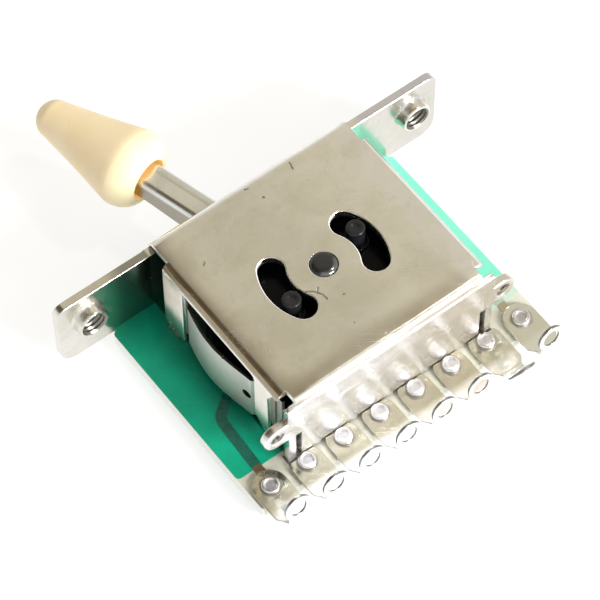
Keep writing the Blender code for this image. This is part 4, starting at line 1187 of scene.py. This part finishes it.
def rotor_piece():
    steps = [("cut", box(-LEVER_HALF - 0.3, LEVER_HALF + 0.3, -20, -LEVER_START + 0.4, -5, LEVER_TOP + 0.3))]
    for side in (1, -1):
        pin = [(0, ROTOR_Z1 - 0.5), (PIN_R, ROTOR_Z1 - 0.5)]
        pin += [(r, z) for r, z in arc(PIN_R - 0.18, PIN_TOP - 0.18, 0.18, 0, 90, 6)]
        pin += [(0.45, PIN_TOP - 0.01), (0.4, PIN_TOP - 0.04), (0, PIN_TOP - 0.05)]
        boss = [(0, ROTOR_Z1 - 0.5), (1.38, ROTOR_Z1 - 0.5), (1.38, ROTOR_Z1 + 0.3), (1.28, ROTOR_Z1 + 0.4), (0, ROTOR_Z1 + 0.4)]
        steps.append(("join", lathe(boss, 40, (side * SLOT_R, 0, 0))))
        steps.append(("join", lathe(pin, 40, (side * SLOT_R, 0, 0))))
    dome = [(0, ROTOR_Z1 - 0.5), (JOURNAL_R, ROTOR_Z1 - 0.5), (JOURNAL_R, COVER_TOP - 0.05)]
    rise = JOURNAL_TOP - COVER_TOP + 0.05
    for k in range(1, 22):
        f = math.cos(math.pi / 2 * k / 22) ** 0.6
        dome.append((JOURNAL_R * f, COVER_TOP - 0.05 + rise * math.sqrt(1 - f ** 3.6)))
    dome.append((0, JOURNAL_TOP))
    steps.append(("join", lathe(dome, 56)))
    foot = [
        (0, TAB_BOTTOM),
        (LOWER_JOURNAL_R - 0.25, TAB_BOTTOM),
        (LOWER_JOURNAL_R - 0.07, TAB_BOTTOM + 0.07),
        (LOWER_JOURNAL_R, TAB_BOTTOM + 0.25),
        (LOWER_JOURNAL_R, 0.3),
        (2.9, 0.3),
        (2.9, ROTOR_Z0 + 0.5),
        (0, ROTOR_Z0 + 0.5),
    ]
    steps.append(("join", lathe(foot, 56)))
    obj = solved("rotor_body", soft_prism(rotor_outline(), ROTOR_Z0, ROTOR_Z1, 0.2, "Z", 4), steps)
    closed = bmesh.new()
    closed.from_mesh(obj.data)
    bmesh.ops.remove_doubles(closed, verts=closed.verts, dist=0.004 * MM)
    bmesh.ops.dissolve_degenerate(closed, edges=closed.edges, dist=0.001 * MM)
    closed.to_mesh(obj.data)
    closed.free()
    obj.data.transform(Matrix.Translation((0, PIVOT_Y * MM, 0)) @ Matrix.Rotation(math.radians(REST_TILT), 4, "Z"))
    return finished(obj, M["black"], "selector", ["rotor"])


def lever_piece():
    """Channel folded from sheet; a shallow tool line runs along its web."""
    r_out, r_in = 0.75, 0.2
    top, half, t = LEVER_TOP, LEVER_HALF, LEVER_SHEET
    spans = []
    for (d0, l0), (d1, l1) in zip(LEVER_LEG_Z, LEVER_LEG_Z[1:]):
        n = max(2, int((d1 - d0) / 0.8))
        spans += [(d0 + (d1 - d0) * k / n, l0 + (l1 - l0) * k / n) for k in range(n)]
    spans.append(LEVER_LEG_Z[-1])
    rings = []
    for distance, leg in spans:
        dip = 0.012 * mn.noise(Vector((distance * 0.35, 2.0, 1.0)))
        outline = [(half - 0.04, leg), (half, leg + 0.06)]
        outline += arc(half - r_out, top - r_out, r_out, 0, 90, 12)
        outline += [(0.5, top - 0.004 + dip - 0.012), (-0.28, top - 0.004 - 0.012), (-0.40, top - 0.04), (-0.52, top - 0.012)]
        outline += arc(-half + r_out, top - r_out, r_out, 90, 180, 12)
        outline += [(-half, leg + 0.06), (-half + 0.04, leg), (-half + t - 0.04, leg), (-half + t, leg + 0.06)]
        outline += arc(-half + t + r_in, top - t - r_in, r_in, 180, 90, 4)
        outline += arc(half - t - r_in, top - t - r_in, r_in, 90, 0, 4)
        outline += [(half - t, leg + 0.06), (half - t + 0.04, leg)]
        rings.append([(x, -distance, z) for x, z in outline])
    obj = object_of("lever_channel", turned(skin(rings), REST_TILT))
    return finished(obj, M["lever"], "selector", ["lever"])


def cap_piece():
    """Tapered knob with a soft shoulder, hollow where the lever goes in."""
    outer = [(0, CAP_TIP)]
    for i in range(1, 15):
        a = math.pi / 2 * i / 14
        outer.append((CAP_TIP_R * math.sin(a), CAP_TIP - CAP_TIP_LEN + CAP_TIP_LEN * math.cos(a)))
    steps = 14
    for i in range(1, steps):
        f = i / steps
        bulge = 0.06 * math.sin(math.pi * f)
        outer.append(
            (
                CAP_TIP_R + (CAP_SHOULDER_R - CAP_TIP_R) * f - bulge,
                CAP_TIP - CAP_TIP_LEN + (CAP_SHOULDER - CAP_TIP + CAP_TIP_LEN) * f,
            )
        )
    for i in range(17):
        a = math.pi / 2 * i / 16
        outer.append(
            (
                CAP_OPENING_R + 0.06 + (CAP_SHOULDER_R - CAP_OPENING_R - 0.06) * math.cos(a),
                CAP_SHOULDER - (CAP_SHOULDER - CAP_BASE) * math.sin(a),
            )
        )
    inner = [(CAP_OPENING_R + 0.015, CAP_BASE + 0.03), (CAP_OPENING_R, CAP_BASE + 0.12)]
    inner += [(CAP_OPENING_R - 0.02 * k, CAP_BASE + 0.12 + (CAP_HOLE_END - 1.4 - CAP_BASE) * k / 6) for k in range(1, 7)]
    inner += [(CAP_OPENING_R - 0.3, CAP_HOLE_END - 0.6), (CAP_OPENING_R - 0.7, CAP_HOLE_END), (0, CAP_HOLE_END)]
    bm = lathe(outer + inner, 112, (0, 0, CAP_Z), "-Y")
    for v in bm.verts:
        c = v.co
        radius = math.hypot(c.x, c.z - CAP_Z)
        if radius > CAP_OPENING_R + 0.3 or -c.y > CAP_TIP - CAP_TIP_LEN:
            n = mn.noise(Vector((c.x * 0.25 + 4, c.y * 0.25, c.z * 0.25)))
            k = 1 - 0.006 * (n + 1)
            v.co.x = c.x * k
            v.co.z = CAP_Z + (c.z - CAP_Z) * k
    obj = object_of("tapered_cap", turned(bm, REST_TILT))
    return finished(obj, M["cream"], "selector", ["lever_cap"], 60.0, False)


# ---------------------------------------------------------------- the scene


def camera():
    """Perspective camera that looks down on the cover from behind its +X corner."""
    az, el, roll = (math.radians(a) for a in (142.916, 58.604, -0.193))
    focal_px, scale = 3195.75, 9.884
    back = Vector((math.sin(az) * math.cos(el), -math.cos(az) * math.cos(el), math.sin(el)))
    right = Vector((math.cos(az), math.sin(az), 0.0))
    up = back.cross(right)
    r2 = right * math.cos(roll) + up * math.sin(roll)
    u2 = -right * math.sin(roll) + up * math.cos(roll)
    place = Vector((0, 13, 5)) + back * (focal_px / scale) - r2 * (22.75 / scale) + u2 * (-6.65 / scale)
    data = bpy.data.cameras.new("camera")
    data.sensor_width = 36.0
    data.lens = 36.0 * focal_px / 600.0
    data.clip_start, data.clip_end = 0.01, 20.0
    obj = bpy.data.objects.new("camera", data)
    bpy.context.scene.collection.objects.link(obj)
    rows = [(r2[k], u2[k], back[k], place[k] * MM) for k in range(3)]
    obj.matrix_world = Matrix((*rows, (0, 0, 0, 1)))
    bpy.context.scene.camera = obj


def floor():
    size, z = 3.0, (TAB_BOTTOM - 0.02) * MM
    mesh = bpy.data.meshes.new("floor")
    mesh.from_pydata([(-size, -size, z), (size, -size, z), (size, size, z), (-size, size, z)], [], [(0, 1, 2, 3)])
    s = Surface("pale_paper")
    tone = s.mix(s.noise(40.0, 3.0), (0.29, 0.29, 0.29), (0.31, 0.31, 0.31))
    s.set(Base_Color=tone, Roughness=0.9, Emission_Color=(1.0, 1.0, 0.995))
    s.shader.inputs["Emission Strength"].default_value = 0.77
    s.shader.inputs["Specular IOR Level"].default_value = 0.0
    mesh.materials.append(s.mat)
    obj = bpy.data.objects.new("floor", mesh)
    bpy.context.scene.collection.objects.link(obj)


def studio():
    """White room with a duller, warm ceiling and one darker, warm corner."""
    world = bpy.data.worlds.new("studio")
    bpy.context.scene.world = world
    world.use_nodes = True
    tree = world.node_tree
    tree.nodes.clear()
    out = tree.nodes.new("ShaderNodeOutputWorld")
    back = tree.nodes.new("ShaderNodeBackground")
    tree.links.new(back.outputs[0], out.inputs[0])
    way = tree.nodes.new("ShaderNodeTexCoord").outputs["Generated"]

    def lobe(direction, wide, narrow):
        dot = tree.nodes.new("ShaderNodeVectorMath")
        dot.operation = "DOT_PRODUCT"
        tree.links.new(way, dot.inputs[0])
        dot.inputs[1].default_value = tuple(Vector(direction).normalized())
        span = tree.nodes.new("ShaderNodeMapRange")
        span.interpolation_type = "SMOOTHSTEP"
        tree.links.new(dot.outputs["Value"], span.inputs["Value"])
        span.inputs["From Min"].default_value = math.cos(math.radians(wide))
        span.inputs["From Max"].default_value = math.cos(math.radians(narrow))
        return span.outputs["Result"]

    def over(fac, a, b):
        node = tree.nodes.new("ShaderNodeMix")
        node.data_type = "RGBA"
        tree.links.new(fac, node.inputs[0])
        for value, socket in ((a, node.inputs[6]), (b, node.inputs[7])):
            if isinstance(value, bpy.types.NodeSocket):
                tree.links.new(value, socket)
            else:
                socket.default_value = (*value, 1.0)
        return node.outputs[2]

    color = over(lobe((-0.30, -0.42, 0.86), 48, 27), (0.88, 0.88, 0.875), (0.69, 0.625, 0.47))
    color = over(lobe((-0.80, -0.42, 0.42), 44, 26), color, (0.70, 0.66, 0.56))
    color = over(lobe((-0.30, 0.30, 0.90), 27, 14), color, (0.78, 0.73, 0.55))
    color = over(lobe((-0.20, 0.03, 0.98), 23, 10), color, (0.31, 0.24, 0.14))
    color = over(lobe((0.47, -0.43, 0.77), 37, 22), color, (0.12, 0.09, 0.055))
    tree.links.new(color, back.inputs["Color"])
    back.inputs["Strength"].default_value = 1.0

    for name, aim, size, power in (
        ("softbox", (-0.30, 0.84, 0.46), (0.35, 0.25), 9.8),
        ("small_lamp", (-0.478, 0.146, 0.868), (0.055, 0.055), 0.9),
    ):
        light = bpy.data.lights.new(name, "AREA")
        light.shape = "RECTANGLE"
        light.size, light.size_y = size
        light.energy = power
        obj = bpy.data.objects.new(name, light)
        bpy.context.scene.collection.objects.link(obj)
        aim = Vector(aim).normalized()
        obj.location = Vector((0, 0.013, 0)) + aim * 0.8
        obj.rotation_mode = "QUATERNION"
        obj.rotation_quaternion = aim.to_track_quat("Z", "Y")


camera()
floor()
studio()
housing_piece()
board_pieces()
leaf_piece("spring_leaf_right", 1)
leaf_piece("spring_leaf_left", -1)
for number in range(LUG_COUNT):
    lug_piece(number)
    rivet_piece(number)
rotor_piece()
lever_piece()
cap_piece()
for node in ("wiper_left", "wiper_right"):
    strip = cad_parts[node]
    strip.data.materials.clear()
    strip.data.materials.append(M["bronze"])

view = bpy.context.scene.view_settings
view.view_transform = "Standard"
view.look = "None"
view.exposure = 0.0
view.gamma = 1.0
